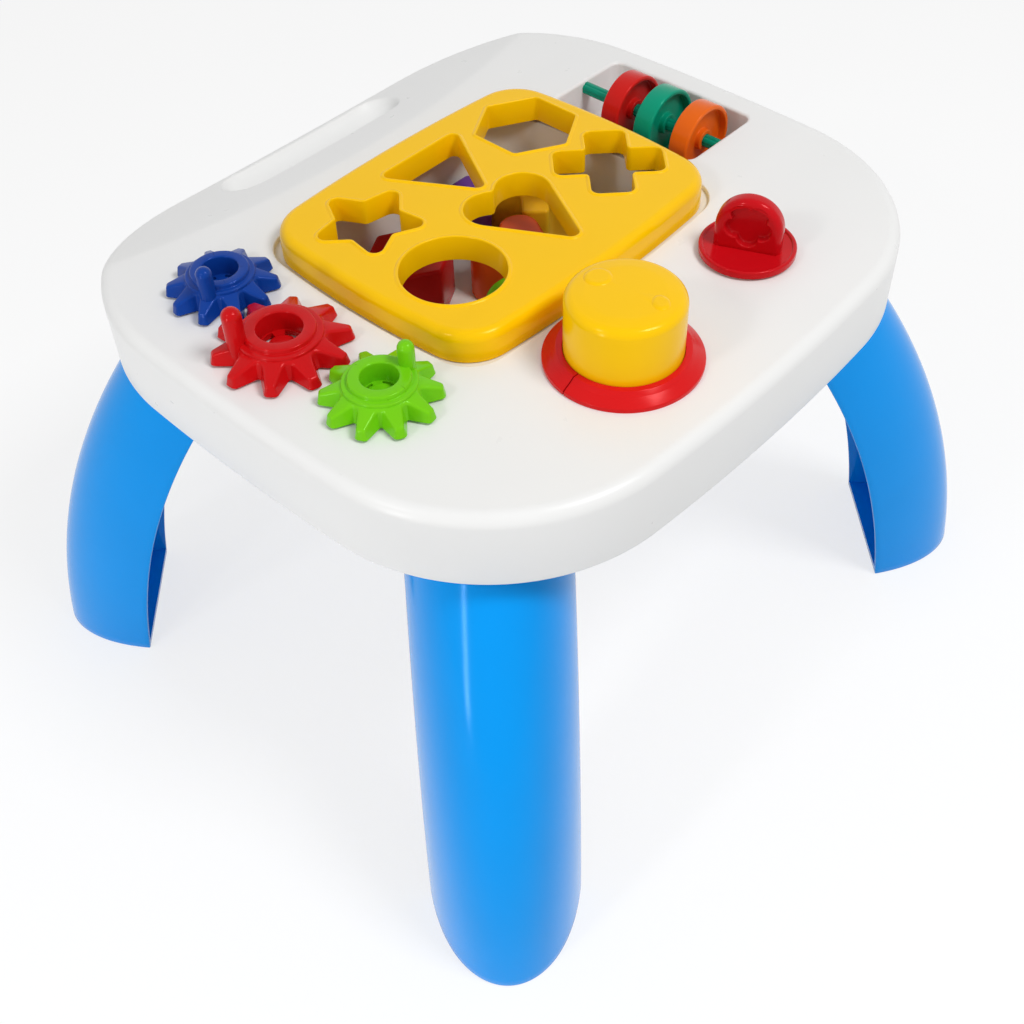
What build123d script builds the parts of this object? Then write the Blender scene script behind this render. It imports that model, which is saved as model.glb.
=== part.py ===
from build123d import *
import math
import os

# The whole table, in millimetres: Z up, X along the sorter lid, origin on the floor under the middle
lid_length = 228.4
lid_width = 180.6
lid_offset = 7.8
end_margin = 105.8
side_margin = 112.7
table_length = lid_length + 2 * end_margin
table_width = lid_width + 2 * side_margin
table_height = 313.0
lid_end = lid_length / 2
lid_front = lid_offset - lid_width / 2
lid_back = lid_offset + lid_width / 2

# Room and overruns shared by the fits
overrun = 2.0
running_gap = 0.06
slip_gap = 0.3
turn_gap = 0.2
thread_gap = 0.05

# Moulded top: a plate with a deep skirt, bowed sides and a sloping flank on the +Y side
skirt_depth = 47.0
shell_wall = 3.0
end_bow = 20.2
side_bow = 15.8
top_corner_radius = 137.0
rim_radius = 13.0
crease_out = 29.9
crease_reach = lid_back + crease_out
crease_radius = 685.0
crease_run = 130.0
flank_slope_deg = 20.0
boss_radius = 8.0
boss_drop = 8.0
seat_ring_radius = 6.6
seat_ring_rise = 1.2

# Crayon groove pressed into the flank
groove_length = 158.0
groove_radius = 11.5
groove_lift = 4.5
groove_inset = 36.0
groove_reach = table_width / 2 - groove_inset
groove_wall = 2.5

# Sorter lid, with the outline that the opening and the bin follow
lid_bow = 5.8
lid_corner_radius = 30.0
lid_rise = 16.7
lid_wall = 2.8
lid_edge_radius = 6.0
lid_gap = 2.6
opening_corner_radius = 25.0
hole_wall = 2.2
hole_depth = 16.0
hole_lip_width = 2.4
hole_lip_rise = 0.9
hole_lip_round_share = 0.8

# Sorter holes, in two rows of three
circle_radius = 31.0
star_tips = 5
star_radius = 38.0
star_waist_share = 0.52
star_tip_radius = 5.0
star_waist_radius = 4.0
triangle_radius = 39.5
triangle_corner = 4.0
hexagon_radius = 33.5
hexagon_corner = 3.0
heart_lobe_radius = 17.0
heart_lobe_offset = 13.5
heart_tip_radius = 5.0
heart_drop = 50.0
cross_reach = 34.0
cross_half_arm = 13.0
cross_end_radius = 5.0
cross_inner_radius = 3.0
circle_place = (-67.3, -23.6)
star_place = (-66.0, 47.0)
triangle_place = (3.2, 56.0)
hexagon_place = (71.5, 46.5)
heart_place = (3.5, 0.0)
cross_place = (73.8, -20.2)

# Sorter blocks: each follows its hole with room to drop through
block_play = 4.0
block_height = 36.0
block_corner = 3.0
block_edge = 2.0
circle_block_place = (-17.0, -36.0)
star_block_place = (71.0, -22.0)
triangle_block_place = (30.0, 69.0)
hexagon_block_place = (-33.0, 52.0)
heart_block_place = (20.0, 19.0)
cross_block_place = (73.0, 42.0)

# Sorter bin under the opening, hung on screw tabs
bin_depth = 63.0
bin_wall = 2.5
bin_ledge = 8.0
bin_flange = 6.0
bin_floor_radius = 8.0
tab_radius = 4.8
tab_thickness = 3.0
tab_out = 5.2
tab_drop = 11.0
tab_boss_radius = 4.0
tab_side_share = 0.55
tab_front_share = 0.1
tab_end_shares = (-0.42, 0.5)

# Gears on the -X edge: ten sloping teeth each, so that they turn one to one
gear_teeth = 10
gear_tip_height = 6.0
gear_shoulder_height = 11.0
gear_step_height = 12.8
gear_height = 15.6
gear_draft_deg = 7.0
gear_web = 3.2
gear_ring_round = 1.0
gear_shaft_radius = 4.6
gear_hub_radius = 6.4
gear_slot_wall = 1.6
gear_slot_deg = 84.0
gear_slots = 3
red_phase_deg = 3.5
red_out = 50.8
red_along = 13.0
blue_from_red = (12.0, 66.0)
green_from_red = (8.0, -70.0)
red_place = (-lid_end - red_out, red_along)
blue_place = (red_place[0] + blue_from_red[0], red_place[1] + blue_from_red[1])
green_place = (red_place[0] + green_from_red[0], red_place[1] + green_from_red[1])
red_gear = {
    "place": red_place, "tip": 40.0, "root": 27.5, "tip_half": 3.6, "root_half": 7.4,
    "tip_round": 3.0, "shoulder": 24.0, "ring": 20.0, "bore": 13.0,
    "peg_reach": 24.0, "peg_deg": 152.0, "peg_radius": 5.6, "peg_top": 36.5,
}
blue_gear = {
    "place": blue_place, "tip": 33.0, "root": 22.5, "tip_half": 3.0, "root_half": 6.2,
    "tip_round": 2.6, "shoulder": 20.0, "ring": 16.8, "bore": 10.9,
    "peg_reach": 19.0, "peg_deg": -150.0, "peg_radius": 4.8, "peg_top": 31.0,
}
green_gear = {
    "place": green_place, "tip": 34.0, "root": 23.5, "tip_half": 3.2, "root_half": 6.4,
    "tip_round": 2.8, "shoulder": 20.5, "ring": 17.0, "bore": 10.5,
    "peg_reach": 17.6, "peg_deg": -10.0, "peg_radius": 4.7, "peg_top": 31.0,
}

# Washer and screw that hold a turning piece from under the top
washer_radius = 8.6
washer_thickness = 2.0
screw_radius = 1.6
screw_length = 9.0
screw_head_radius = 3.2
screw_head_height = 2.2
slot_width = 0.8
slot_depth = 0.9

# Roller pocket at the +X edge
pocket_out = 47.8
pocket_along = 15.0
pocket_middle = (lid_end + pocket_out, pocket_along)
pocket_length = 114.6
pocket_width = 68.0
pocket_depth = 34.0
pocket_wall = 2.5
pocket_corner_radius = 7.0
rod_radius = 4.2
rod_drop = 6.0
rod_grip = 6.0
rod_block = 14.0
rod_block_drop = 13.0
roller_radius = 23.5
roller_width = 14.0
roller_rim = 3.0
roller_web = 4.0
roller_hub_radius = 7.0
roller_hub_width = 12.0
roller_edge = 1.0
roller_places = {"roller_red": 33.0, "roller_teal": 5.5, "roller_orange": -24.5}

# Drum on the -Y edge: a cap that is pressed down against a bellows
drum_along = -47.2
drum_out = 49.2
drum_place = (drum_along, lid_front - drum_out)
drum_radius = 33.0
drum_rise = 45.0
drum_wall = 2.5
drum_edge_radius = 5.0
drum_travel = 8.0
drum_collar_width = 3.4
drum_collar_height = 2.5
ring_radius = 44.6
ring_edge_height = 2.6
ring_crown_height = 8.6
ring_crown_width = 3.6
ring_spigot_wall = 3.2
ring_spigot_drop = 8.0
ring_slit_width = 0.9
ring_slit_deg = 174.0
cup_room = 13.2
cup_wall = 2.2
cup_flange_width = 10.0
cup_flange_thickness = 3.0
cup_boss_drop = 6.0
cup_screws = 3
cup_screw_deg = 40.0
bellows_radius = 25.0
bellows_waist = 20.0
bellows_folds = 7

# Turning knob with an arched grip
knob_along = 73.8
knob_out = 43.8
knob_place = (knob_along, lid_front - knob_out)
knob_radius = 28.7
knob_plate = 3.4
knob_rim_rise = 1.2
knob_rim_width = 2.2
knob_rim_round_share = 0.7
knob_turn_deg = -67.0
knob_shaft_radius = 5.0
grip_half_width = 20.0
grip_top = 43.0
grip_thickness = 12.0
grip_edge_radius = 3.5
grip_recess = 3.2
grip_recess_base = 5.0
grip_lobe_radius = 6.2
grip_lobe_share = 0.8
grip_lobe_spread = 7.6
grip_lobe_height = 23.5
grip_crown_height = 27.5

# Legs: splayed shells of one pointed section, shifted along an arc
foot_out = (32.0, 23.0)
foot_nose = (table_length / 2 + foot_out[0], table_width / 2 + foot_out[1])
leg_depth = 63.0
leg_half_width = 44.0
leg_lean = 115.0
leg_bow = 21.0
leg_sections = 7
leg_hide = 2.0
leg_rim = 3.5
leg_recess = 4.0
leg_sole = 6.0
leg_head = 18.0
tenon_depth = 25.0
tenon_width = 42.0
tenon_height = 24.0
tenon_corner_radius = 5.0
tenon_setback = 44.0
socket_wall = 2.5
leg_screw_rise = 12.0
leg_angles = {"leg_back_right": 45.0, "leg_back_left": 135.0, "leg_front_left": 225.0,
              "leg_front_right": 315.0}

# Levels that several pieces share
skirt_bottom = table_height - skirt_depth
plate_under = table_height - shell_wall
bin_floor = table_height - bin_depth
lid_seat = plate_under + slip_gap
leg_shoulder = skirt_bottom + leg_hide
drum_hole_radius = drum_radius + slip_gap + ring_spigot_wall
cup_depth = ring_spigot_drop + slip_gap + drum_collar_height + drum_travel + cup_room
turn_lift = seat_ring_rise + turn_gap
turn_floor = table_height + turn_lift


def save(name, shape):
    export_step(shape, os.path.join("parts", name + ".step"))


def bowed_plate(half_x, half_y, bow_x, bow_y, corner_radius):
    """A rectangle whose sides bulge, with large round corners."""
    corner_x = half_x - bow_x
    corner_y = half_y - bow_y
    sides = [
        ThreePointArc((corner_x, -corner_y), (half_x, 0), (corner_x, corner_y)),
        ThreePointArc((corner_x, corner_y), (0, half_y), (-corner_x, corner_y)),
        ThreePointArc((-corner_x, corner_y), (-half_x, 0), (-corner_x, -corner_y)),
        ThreePointArc((-corner_x, -corner_y), (0, -half_y), (corner_x, -corner_y)),
    ]
    return fillet(make_face(sides).vertices(), corner_radius)


def lid_plate(grow, corner_radius):
    """The lid's outline, grown all round, with its own corner."""
    half_x = lid_end + grow
    half_y = lid_width / 2 + grow
    return Pos(0, lid_offset) * bowed_plate(half_x, half_y, lid_bow, lid_bow, corner_radius)


def tube(radius, low, high, place=(0, 0)):
    """An upright round bar between two levels."""
    middle = (low + high) / 2
    return Pos(place[0], place[1], middle) * Cylinder(radius, high - low)


def turned(points):
    """A piece turned about Z from a profile of (radius, height) points."""
    outline = [(radius, 0, height) for radius, height in points]
    return revolve(make_face(Polyline(*outline, close=True)), Axis.Z)


def top_form(inset):
    """The top's skin, or its inner skin one wall further in."""
    low = skirt_bottom - (overrun if inset else 0)
    outline = bowed_plate(table_length / 2 - inset, table_width / 2 - inset,
                          end_bow, side_bow, top_corner_radius - inset)
    body = Pos(0, 0, low) * extrude(outline, amount=table_height - inset - low)
    slope = math.tan(math.radians(flank_slope_deg))
    drop = inset / math.cos(math.radians(flank_slope_deg))
    crease_level = table_height - drop
    near = crease_radius - crease_run
    far = crease_radius + crease_run
    above = table_height + crease_run
    scoop = turned([(near, crease_level - crease_run * slope), (far, crease_level + crease_run * slope),
                    (far, above), (near, above)])
    body -= Pos(0, crease_reach + crease_radius, 0) * scoop
    flank = body.faces().filter_by(GeomType.CONE)[0]
    plate = body.faces().sort_by(Axis.Z)[-1]
    crease = [edge for edge in flank.edges() if edge.geom_type == GeomType.CIRCLE
              and abs(edge.radius - crease_radius) < crease_run]
    level = plate.center().Z
    crease = [edge for edge in crease if abs(edge.center().Z - level) < shell_wall]
    brim = [edge for edge in plate.edges() + flank.edges()
            if not any(edge.is_same(line) for line in crease)]
    return fillet(brim, rim_radius - inset)


def groove_bar(radius):
    """The round-ended bar that presses the groove into the flank."""
    slope = math.radians(flank_slope_deg)
    surface = table_height - (groove_reach - crease_reach) * math.tan(slope)
    place = Pos(0, groove_reach + groove_lift * math.sin(slope), surface + groove_lift * math.cos(slope))
    half = groove_length / 2 - groove_radius
    bar = Rot(0, 90, 0) * Cylinder(radius, half * 2)
    for end in (-half, half):
        bar += Pos(end, 0, 0) * Sphere(radius)
    return place * bar


def at_leg(angle):
    """Where a leg's own axes lie: X points out through its nose, at the floor."""
    side_x = 1 if math.cos(math.radians(angle)) > 0 else -1
    side_y = 1 if math.sin(math.radians(angle)) > 0 else -1
    return Pos(side_x * foot_nose[0], side_y * foot_nose[1], 0) * Rot(0, 0, angle)


def leg_shift(level):
    """How far in the leg's nose stands from the foot's nose at a level."""
    chord = math.hypot(leg_lean, leg_shoulder)
    radius = (chord**2 / 4 + leg_bow**2) / (2 * leg_bow)
    along = (-leg_lean / chord, leg_shoulder / chord)
    out = (along[1], -along[0])
    centre_x = -leg_lean / 2 + out[0] * (leg_bow - radius)
    centre_z = leg_shoulder / 2 + out[1] * (leg_bow - radius)
    return centre_x + math.sqrt(radius**2 - (level - centre_z)**2)


tenon_middle = leg_shift(leg_shoulder) - tenon_setback + tenon_depth / 2


def tenon_plate(grow):
    """The plug on the leg's head, grown to make the socket round it."""
    plate = RectangleRounded(tenon_depth + 2 * grow, tenon_width + 2 * grow, tenon_corner_radius + grow)
    return Pos(tenon_middle, 0) * plate


def tab_places():
    """The bin's screw tabs: two on the +Y side, one on -Y, two on -X, with the way each points."""
    out = lid_gap + bin_flange + tab_out
    side = tab_side_share * lid_end
    places = [((-side, lid_back + out), (0, 1)), ((side, lid_back + out), (0, 1)),
              ((tab_front_share * lid_end, lid_front - out), (0, -1))]
    for share in tab_end_shares:
        places.append(((-lid_end - out, lid_offset + share * lid_width / 2), (-1, 0)))
    return places


def cup_screw_places():
    """Where the drum cup is screwed to the top."""
    reach = drum_hole_radius + slip_gap + cup_wall + cup_flange_width / 2
    places = []
    for index in range(cup_screws):
        angle = math.radians(cup_screw_deg + 360 * index / cup_screws)
        places.append((drum_place[0] + reach * math.cos(angle), drum_place[1] + reach * math.sin(angle)))
    return places


def table_top():
    skin = top_form(0)
    body = skin - top_form(shell_wall)
    # Turning pieces run in bosses under the plate, on a low seat ring above it
    for place, shaft in shaft_places():
        body += tube(boss_radius, plate_under - boss_drop, plate_under, place)
        body += tube(seat_ring_radius, plate_under, table_height + seat_ring_rise, place)
        body -= tube(shaft + running_gap, plate_under - boss_drop - overrun,
                     table_height + seat_ring_rise + overrun, place)
    # Roller pocket with blocks that grip the rod's ends
    pocket = RectangleRounded(pocket_width, pocket_length, pocket_corner_radius)
    jacket = RectangleRounded(pocket_width + 2 * pocket_wall, pocket_length + 2 * pocket_wall,
                              pocket_corner_radius + pocket_wall)
    pocket_floor = table_height - pocket_depth
    at_pocket = Pos(pocket_middle[0], pocket_middle[1])
    body += at_pocket * Pos(0, 0, pocket_floor - pocket_wall) * extrude(
        jacket, amount=pocket_depth + pocket_wall - shell_wall)
    rod_half = pocket_length / 2 + rod_grip
    block_size = (rod_block, 2 * rod_half + 2 * pocket_wall, rod_block_drop - shell_wall)
    block_level = plate_under - block_size[2] / 2
    body += at_pocket * Pos(0, 0, block_level) * Box(*block_size)
    body -= at_pocket * Pos(0, 0, pocket_floor) * extrude(pocket, amount=pocket_depth + overrun)
    rod_level = table_height - rod_drop
    rod_bore = Cylinder(rod_radius + running_gap, 2 * rod_half)
    body -= at_pocket * Pos(0, 0, rod_level) * Rot(90, 0, 0) * rod_bore
    # Opening for the lid, drum hole and bosses for the screws
    body -= Pos(0, 0, plate_under - overrun) * extrude(
        lid_plate(lid_gap, opening_corner_radius), amount=shell_wall + 2 * overrun)
    body -= tube(drum_hole_radius + thread_gap, plate_under - overrun, table_height + overrun, drum_place)
    for place, way in tab_places():
        body += tube(tab_boss_radius, table_height - tab_drop, plate_under, place)
        body -= tube(screw_radius + thread_gap, table_height - tab_drop - overrun, plate_under, place)
    for place in cup_screw_places():
        body += tube(tab_boss_radius, plate_under - cup_boss_drop, plate_under, place)
        body -= tube(screw_radius + thread_gap, plate_under - cup_boss_drop - overrun, plate_under, place)
    # Sockets for the legs' plugs
    for angle in leg_angles.values():
        ring = tenon_plate(slip_gap + socket_wall) - tenon_plate(slip_gap)
        socket = at_leg(angle) * Pos(0, 0, leg_shoulder) * extrude(ring, amount=skirt_depth)
        body += socket & skin
        body -= at_leg(angle) * leg_screw_hole(screw_radius + thread_gap)
    # Groove in the flank, with its own wall below
    body += groove_bar(groove_radius + groove_wall) & skin
    body -= groove_bar(groove_radius)
    return body


def leg_screw_hole(radius):
    """A bore along the leg's outward axis, through the socket's back wall into the plug."""
    back = tenon_middle - tenon_depth / 2
    length = screw_length + socket_wall + slip_gap + overrun
    level = leg_shoulder + leg_screw_rise
    middle = back - socket_wall - slip_gap - overrun + length / 2
    return Pos(middle, 0, level) * Rot(0, 90, 0) * Cylinder(radius, length)


def shaft_places():
    """Every shaft that turns in the top, with its radius."""
    places = [(gear["place"], gear_shaft_radius) for gear in (red_gear, blue_gear, green_gear)]
    places.append((knob_place, knob_shaft_radius))
    return places


def sorter_shapes():
    """The six hole outlines, each round its own middle."""
    star_points = []
    for index in range(2 * star_tips):
        reach = star_radius if index % 2 == 0 else star_radius * star_waist_share
        angle = math.radians(90 + 180 * index / star_tips)
        star_points.append((reach * math.cos(angle), reach * math.sin(angle)))
    star = make_face(Polyline(*star_points, close=True))
    middle = star_radius * (1 + star_waist_share) / 2
    star = fillet([v for v in star.vertices() if v.center().length < middle], star_waist_radius)
    tips = [v for v in star.vertices() if v.center().length > star_radius - star_tip_radius]
    star = fillet(tips, star_tip_radius)
    triangle = RegularPolygon(triangle_radius, 3, rotation=-90)
    triangle = fillet(triangle.vertices(), triangle_corner)
    hexagon = RegularPolygon(hexagon_radius, 6, rotation=90)
    hexagon = fillet(hexagon.vertices(), hexagon_corner)
    heart = Sketch()
    tip = Pos(0, -heart_drop) * Circle(heart_tip_radius)
    for side in (-1, 1):
        lobe = Pos(side * heart_lobe_offset, 0) * Circle(heart_lobe_radius)
        heart += make_hull(lobe.edges() + tip.edges())
    arm = Rectangle(2 * cross_reach, 2 * cross_half_arm)
    cross = arm + Rot(0, 0, 90) * arm
    inner = [v for v in cross.vertices() if v.center().length < cross_reach]
    cross = fillet(inner, cross_inner_radius)
    outer = [v for v in cross.vertices() if v.center().length > cross_reach]
    cross = Rot(0, 0, 45) * fillet(outer, cross_end_radius)
    return {"circle": Circle(circle_radius), "star": star, "triangle": triangle,
            "hexagon": hexagon, "heart": heart, "cross": cross}


hole_places = {"circle": circle_place, "star": star_place, "triangle": triangle_place,
               "hexagon": hexagon_place, "heart": heart_place, "cross": cross_place}
block_places = {"circle": circle_block_place, "star": star_block_place, "triangle": triangle_block_place,
                "hexagon": hexagon_block_place, "heart": heart_block_place, "cross": cross_block_place}


def sorter_lid(shapes):
    lid_top = table_height + lid_rise
    height = lid_top - lid_seat
    body = Pos(0, 0, lid_seat) * extrude(lid_plate(0, lid_corner_radius), amount=height)
    body = fillet(body.faces().sort_by(Axis.Z)[-1].edges(), lid_edge_radius)
    core = lid_plate(-lid_wall, lid_corner_radius - lid_wall)
    body -= Pos(0, 0, lid_seat - overrun) * extrude(core, amount=height + overrun - lid_wall)
    for name, shape in shapes.items():
        at_hole = Pos(hole_places[name][0], hole_places[name][1], lid_top)
        collar = offset(shape, hole_wall)
        body += at_hole * Pos(0, 0, -hole_depth) * extrude(collar, amount=hole_depth - lid_wall / 2)
        lip = at_hole * extrude(offset(shape, hole_lip_width), amount=hole_lip_rise)
        body += fillet(lip.faces().sort_by(Axis.Z)[-1].edges(), hole_lip_rise * hole_lip_round_share)
        body -= at_hole * Pos(0, 0, -hole_depth - overrun) * extrude(
            shape, amount=hole_depth + hole_lip_rise + 2 * overrun)
    return body


def sorter_bin():
    outer = lid_plate(bin_wall - bin_ledge, lid_corner_radius)
    inner = lid_plate(-bin_ledge, lid_corner_radius - bin_wall)
    flange = lid_plate(lid_gap + bin_flange, opening_corner_radius + bin_flange)
    depth = plate_under - bin_floor
    body = Pos(0, 0, bin_floor - bin_wall) * extrude(outer, amount=depth + bin_wall)
    body = fillet(body.faces().sort_by(Axis.Z)[0].edges(), bin_floor_radius)
    body += Pos(0, 0, plate_under - tab_thickness) * extrude(flange, amount=tab_thickness)
    tab_level = table_height - tab_drop - tab_thickness
    reach = bin_ledge + lid_gap + bin_flange + tab_out - bin_wall / 2
    for place, way in tab_places():
        turn = math.degrees(math.atan2(way[1], way[0]))
        tab = SlotCenterToCenter(reach, 2 * tab_radius)
        tab = Pos(place[0], place[1], tab_level) * Rot(0, 0, turn) * Pos(-reach / 2, 0, 0) * extrude(
            tab, amount=tab_thickness)
        body += tab
        body -= tube(screw_radius + slip_gap, tab_level - overrun, tab_level + tab_thickness + overrun, place)
    cavity = Pos(0, 0, bin_floor) * extrude(inner, amount=depth + overrun)
    return body - fillet(cavity.faces().sort_by(Axis.Z)[0].edges(), bin_floor_radius - bin_wall)


def block(shape, place):
    outline = offset(offset(shape, -block_play - block_corner), block_corner)
    body = extrude(outline, amount=block_height)
    body = fillet(body.faces().sort_by(Axis.Z)[-1].edges(), block_edge)
    return Pos(place[0], place[1], bin_floor + slip_gap) * body


def gear_phase(gear):
    """Teeth of a gear that meshes with the red one start where its gaps face them."""
    if gear is red_gear:
        return red_phase_deg
    step = 360 / gear_teeth
    line = math.degrees(math.atan2(gear["place"][1] - red_gear["place"][1],
                                   gear["place"][0] - red_gear["place"][0]))
    return line + 180 - (red_phase_deg - line) + step / 2


def toy_gear(gear):
    tooth = make_face(Polyline((0, -gear["root_half"]), (gear["root"], -gear["root_half"]),
                               (gear["tip"], -gear["tip_half"]), (gear["tip"], gear["tip_half"]),
                               (gear["root"], gear["root_half"]), (0, gear["root_half"]), close=True))
    wheel = Circle(gear["root"])
    for index in range(gear_teeth):
        wheel += Rot(0, 0, gear_phase(gear) + 360 * index / gear_teeth) * tooth
    middle = (gear["root"] + gear["tip"]) / 2
    tips = [v for v in wheel.vertices() if v.center().length > middle]
    wheel = fillet(tips, gear["tip_round"])
    body = extrude(wheel, amount=gear_height, taper=gear_draft_deg)
    reach = gear["tip"] + overrun
    body &= turned([(0, 0), (reach, 0), (reach, gear_tip_height), (gear["shoulder"], gear_shoulder_height),
                    (gear["shoulder"], gear_step_height), (gear["ring"], gear_step_height),
                    (gear["ring"], gear_height), (0, gear_height)])
    body -= tube(gear["bore"], gear_web, gear_height + overrun)
    rim = [edge for edge in body.edges().filter_by(GeomType.CIRCLE)
           if abs(edge.center().Z - gear_height) < gear_ring_round]
    body = fillet(rim, gear_ring_round)
    slot_in = gear_hub_radius + gear_slot_wall
    slot_out = gear["bore"] - gear_slot_wall / 2
    slot = turned_arc(slot_in, slot_out, gear_slot_deg)
    for index in range(gear_slots):
        body -= Rot(0, 0, 360 * index / gear_slots) * Pos(0, 0, -overrun) * extrude(
            slot, amount=gear_web + 2 * overrun)
    peg_angle = math.radians(gear["peg_deg"])
    peg_place = (gear["peg_reach"] * math.cos(peg_angle), gear["peg_reach"] * math.sin(peg_angle))
    peg_end = gear["peg_top"] - turn_lift - gear["peg_radius"]
    body += tube(gear["peg_radius"], gear_web, peg_end, peg_place)
    body += Pos(peg_place[0], peg_place[1], peg_end) * Sphere(gear["peg_radius"])
    body += tube(gear_hub_radius, 0, gear_web + gear_slot_wall)
    shaft_end = plate_under - boss_drop - slip_gap - turn_floor
    body += tube(gear_shaft_radius, shaft_end, gear_web)
    body -= tube(screw_radius + thread_gap, shaft_end - overrun, shaft_end + screw_length - washer_thickness)
    return Pos(gear["place"][0], gear["place"][1], turn_floor) * body


def turned_arc(radius_in, radius_out, sweep_deg):
    """A flat arc slot round the middle."""
    half = math.radians(sweep_deg) / 2
    wedge = Polyline((0, 0), (radius_out * 2, -radius_out * 2 * math.tan(half)),
                     (radius_out * 2, radius_out * 2 * math.tan(half)), close=True)
    return (Circle(radius_out) - Circle(radius_in)) & make_face(wedge)


def washer(place):
    """The washer that keeps a turning shaft in its boss."""
    top = plate_under - boss_drop - slip_gap
    return tube(washer_radius, top - washer_thickness, top, place) - tube(
        screw_radius + thread_gap, top - washer_thickness - overrun, top + overrun, place)


def screw():
    """A slotted screw with its head's underside at zero, pointing up."""
    body = tube(screw_radius, 0, screw_length)
    head = tube(screw_head_radius, -screw_head_height, 0)
    head -= Pos(0, 0, -screw_head_height) * Box(2 * screw_head_radius + overrun, slot_width, 2 * slot_depth)
    return body + head


def shaft_screw(place):
    return Pos(place[0], place[1], plate_under - boss_drop - slip_gap - washer_thickness) * screw()


def roller_rod():
    length = pocket_length + 2 * rod_grip - 2 * slip_gap
    level = table_height - rod_drop
    bar = chamfer(Cylinder(rod_radius, length).edges().filter_by(GeomType.CIRCLE), roller_edge / 2)
    return Pos(pocket_middle[0], pocket_middle[1], level) * Rot(90, 0, 0) * bar


def roller(place_y):
    half = roller_width / 2
    web = roller_web / 2
    hub = roller_hub_width / 2
    bore = rod_radius + running_gap
    rim_in = roller_radius - roller_rim
    points = [(bore, -hub), (roller_hub_radius, -hub), (roller_hub_radius, -web), (rim_in, -web),
              (rim_in, -half), (roller_radius, -half), (roller_radius, half), (rim_in, half),
              (rim_in, web), (roller_hub_radius, web), (roller_hub_radius, hub), (bore, hub)]
    body = turned(points)
    edges = [edge for edge in body.edges().filter_by(GeomType.CIRCLE)
             if edge.radius > rim_in - slip_gap and abs(abs(edge.center().Z) - half) < slip_gap]
    body = fillet(edges, roller_edge)
    return Pos(pocket_middle[0], place_y, table_height - rod_drop) * Rot(90, 0, 0) * body


def drum_cap():
    top = table_height + drum_rise
    low = table_height - ring_spigot_drop - slip_gap
    collar = drum_radius + drum_collar_width
    inside = drum_radius - drum_wall
    body = turned([(0, top), (drum_radius, top), (drum_radius, low), (collar, low),
                   (collar, low - drum_collar_height), (inside, low - drum_collar_height),
                   (inside, top - drum_wall), (0, top - drum_wall)])
    brim = [edge for edge in body.edges().filter_by(GeomType.CIRCLE) if abs(edge.center().Z - top) < slip_gap]
    return Pos(drum_place[0], drum_place[1], 0) * fillet(brim, drum_edge_radius)


def drum_ring():
    inside = drum_radius + slip_gap
    spigot = inside + ring_spigot_wall
    low = table_height - ring_spigot_drop
    body = turned([(inside, low), (spigot, low), (spigot, table_height), (ring_radius, table_height),
                   (ring_radius, table_height + ring_edge_height),
                   (inside + ring_crown_width, table_height + ring_crown_height),
                   (inside, table_height + ring_crown_height)])
    slit = Rot(0, 0, ring_slit_deg) * Pos(ring_radius, 0, table_height) * Box(
        ring_radius * 2, ring_slit_width, 4 * ring_crown_height)
    return Pos(drum_place[0], drum_place[1], 0) * (body - slit)


def drum_cup():
    inside = drum_hole_radius + slip_gap
    wall = inside + cup_wall
    rim = wall + cup_flange_width
    high = plate_under - cup_boss_drop
    low = table_height - cup_depth
    body = turned([(0, low), (inside, low), (inside, high), (rim, high), (rim, high - cup_flange_thickness),
                   (wall, high - cup_flange_thickness), (wall, low - cup_wall), (0, low - cup_wall)])
    body = Pos(drum_place[0], drum_place[1], 0) * body
    for place in cup_screw_places():
        body -= tube(screw_radius + slip_gap, high - cup_flange_thickness - overrun, high + overrun, place)
    return body


def drum_bellows():
    low = table_height - cup_depth + slip_gap
    high = table_height + drum_rise - drum_wall - slip_gap
    step = (high - low) / (2 * bellows_folds)
    points = [(0, low)]
    for index in range(2 * bellows_folds + 1):
        points.append((bellows_waist if index % 2 == 0 else bellows_radius, low + index * step))
    points.append((0, high))
    return Pos(drum_place[0], drum_place[1], 0) * turned(points)


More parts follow.
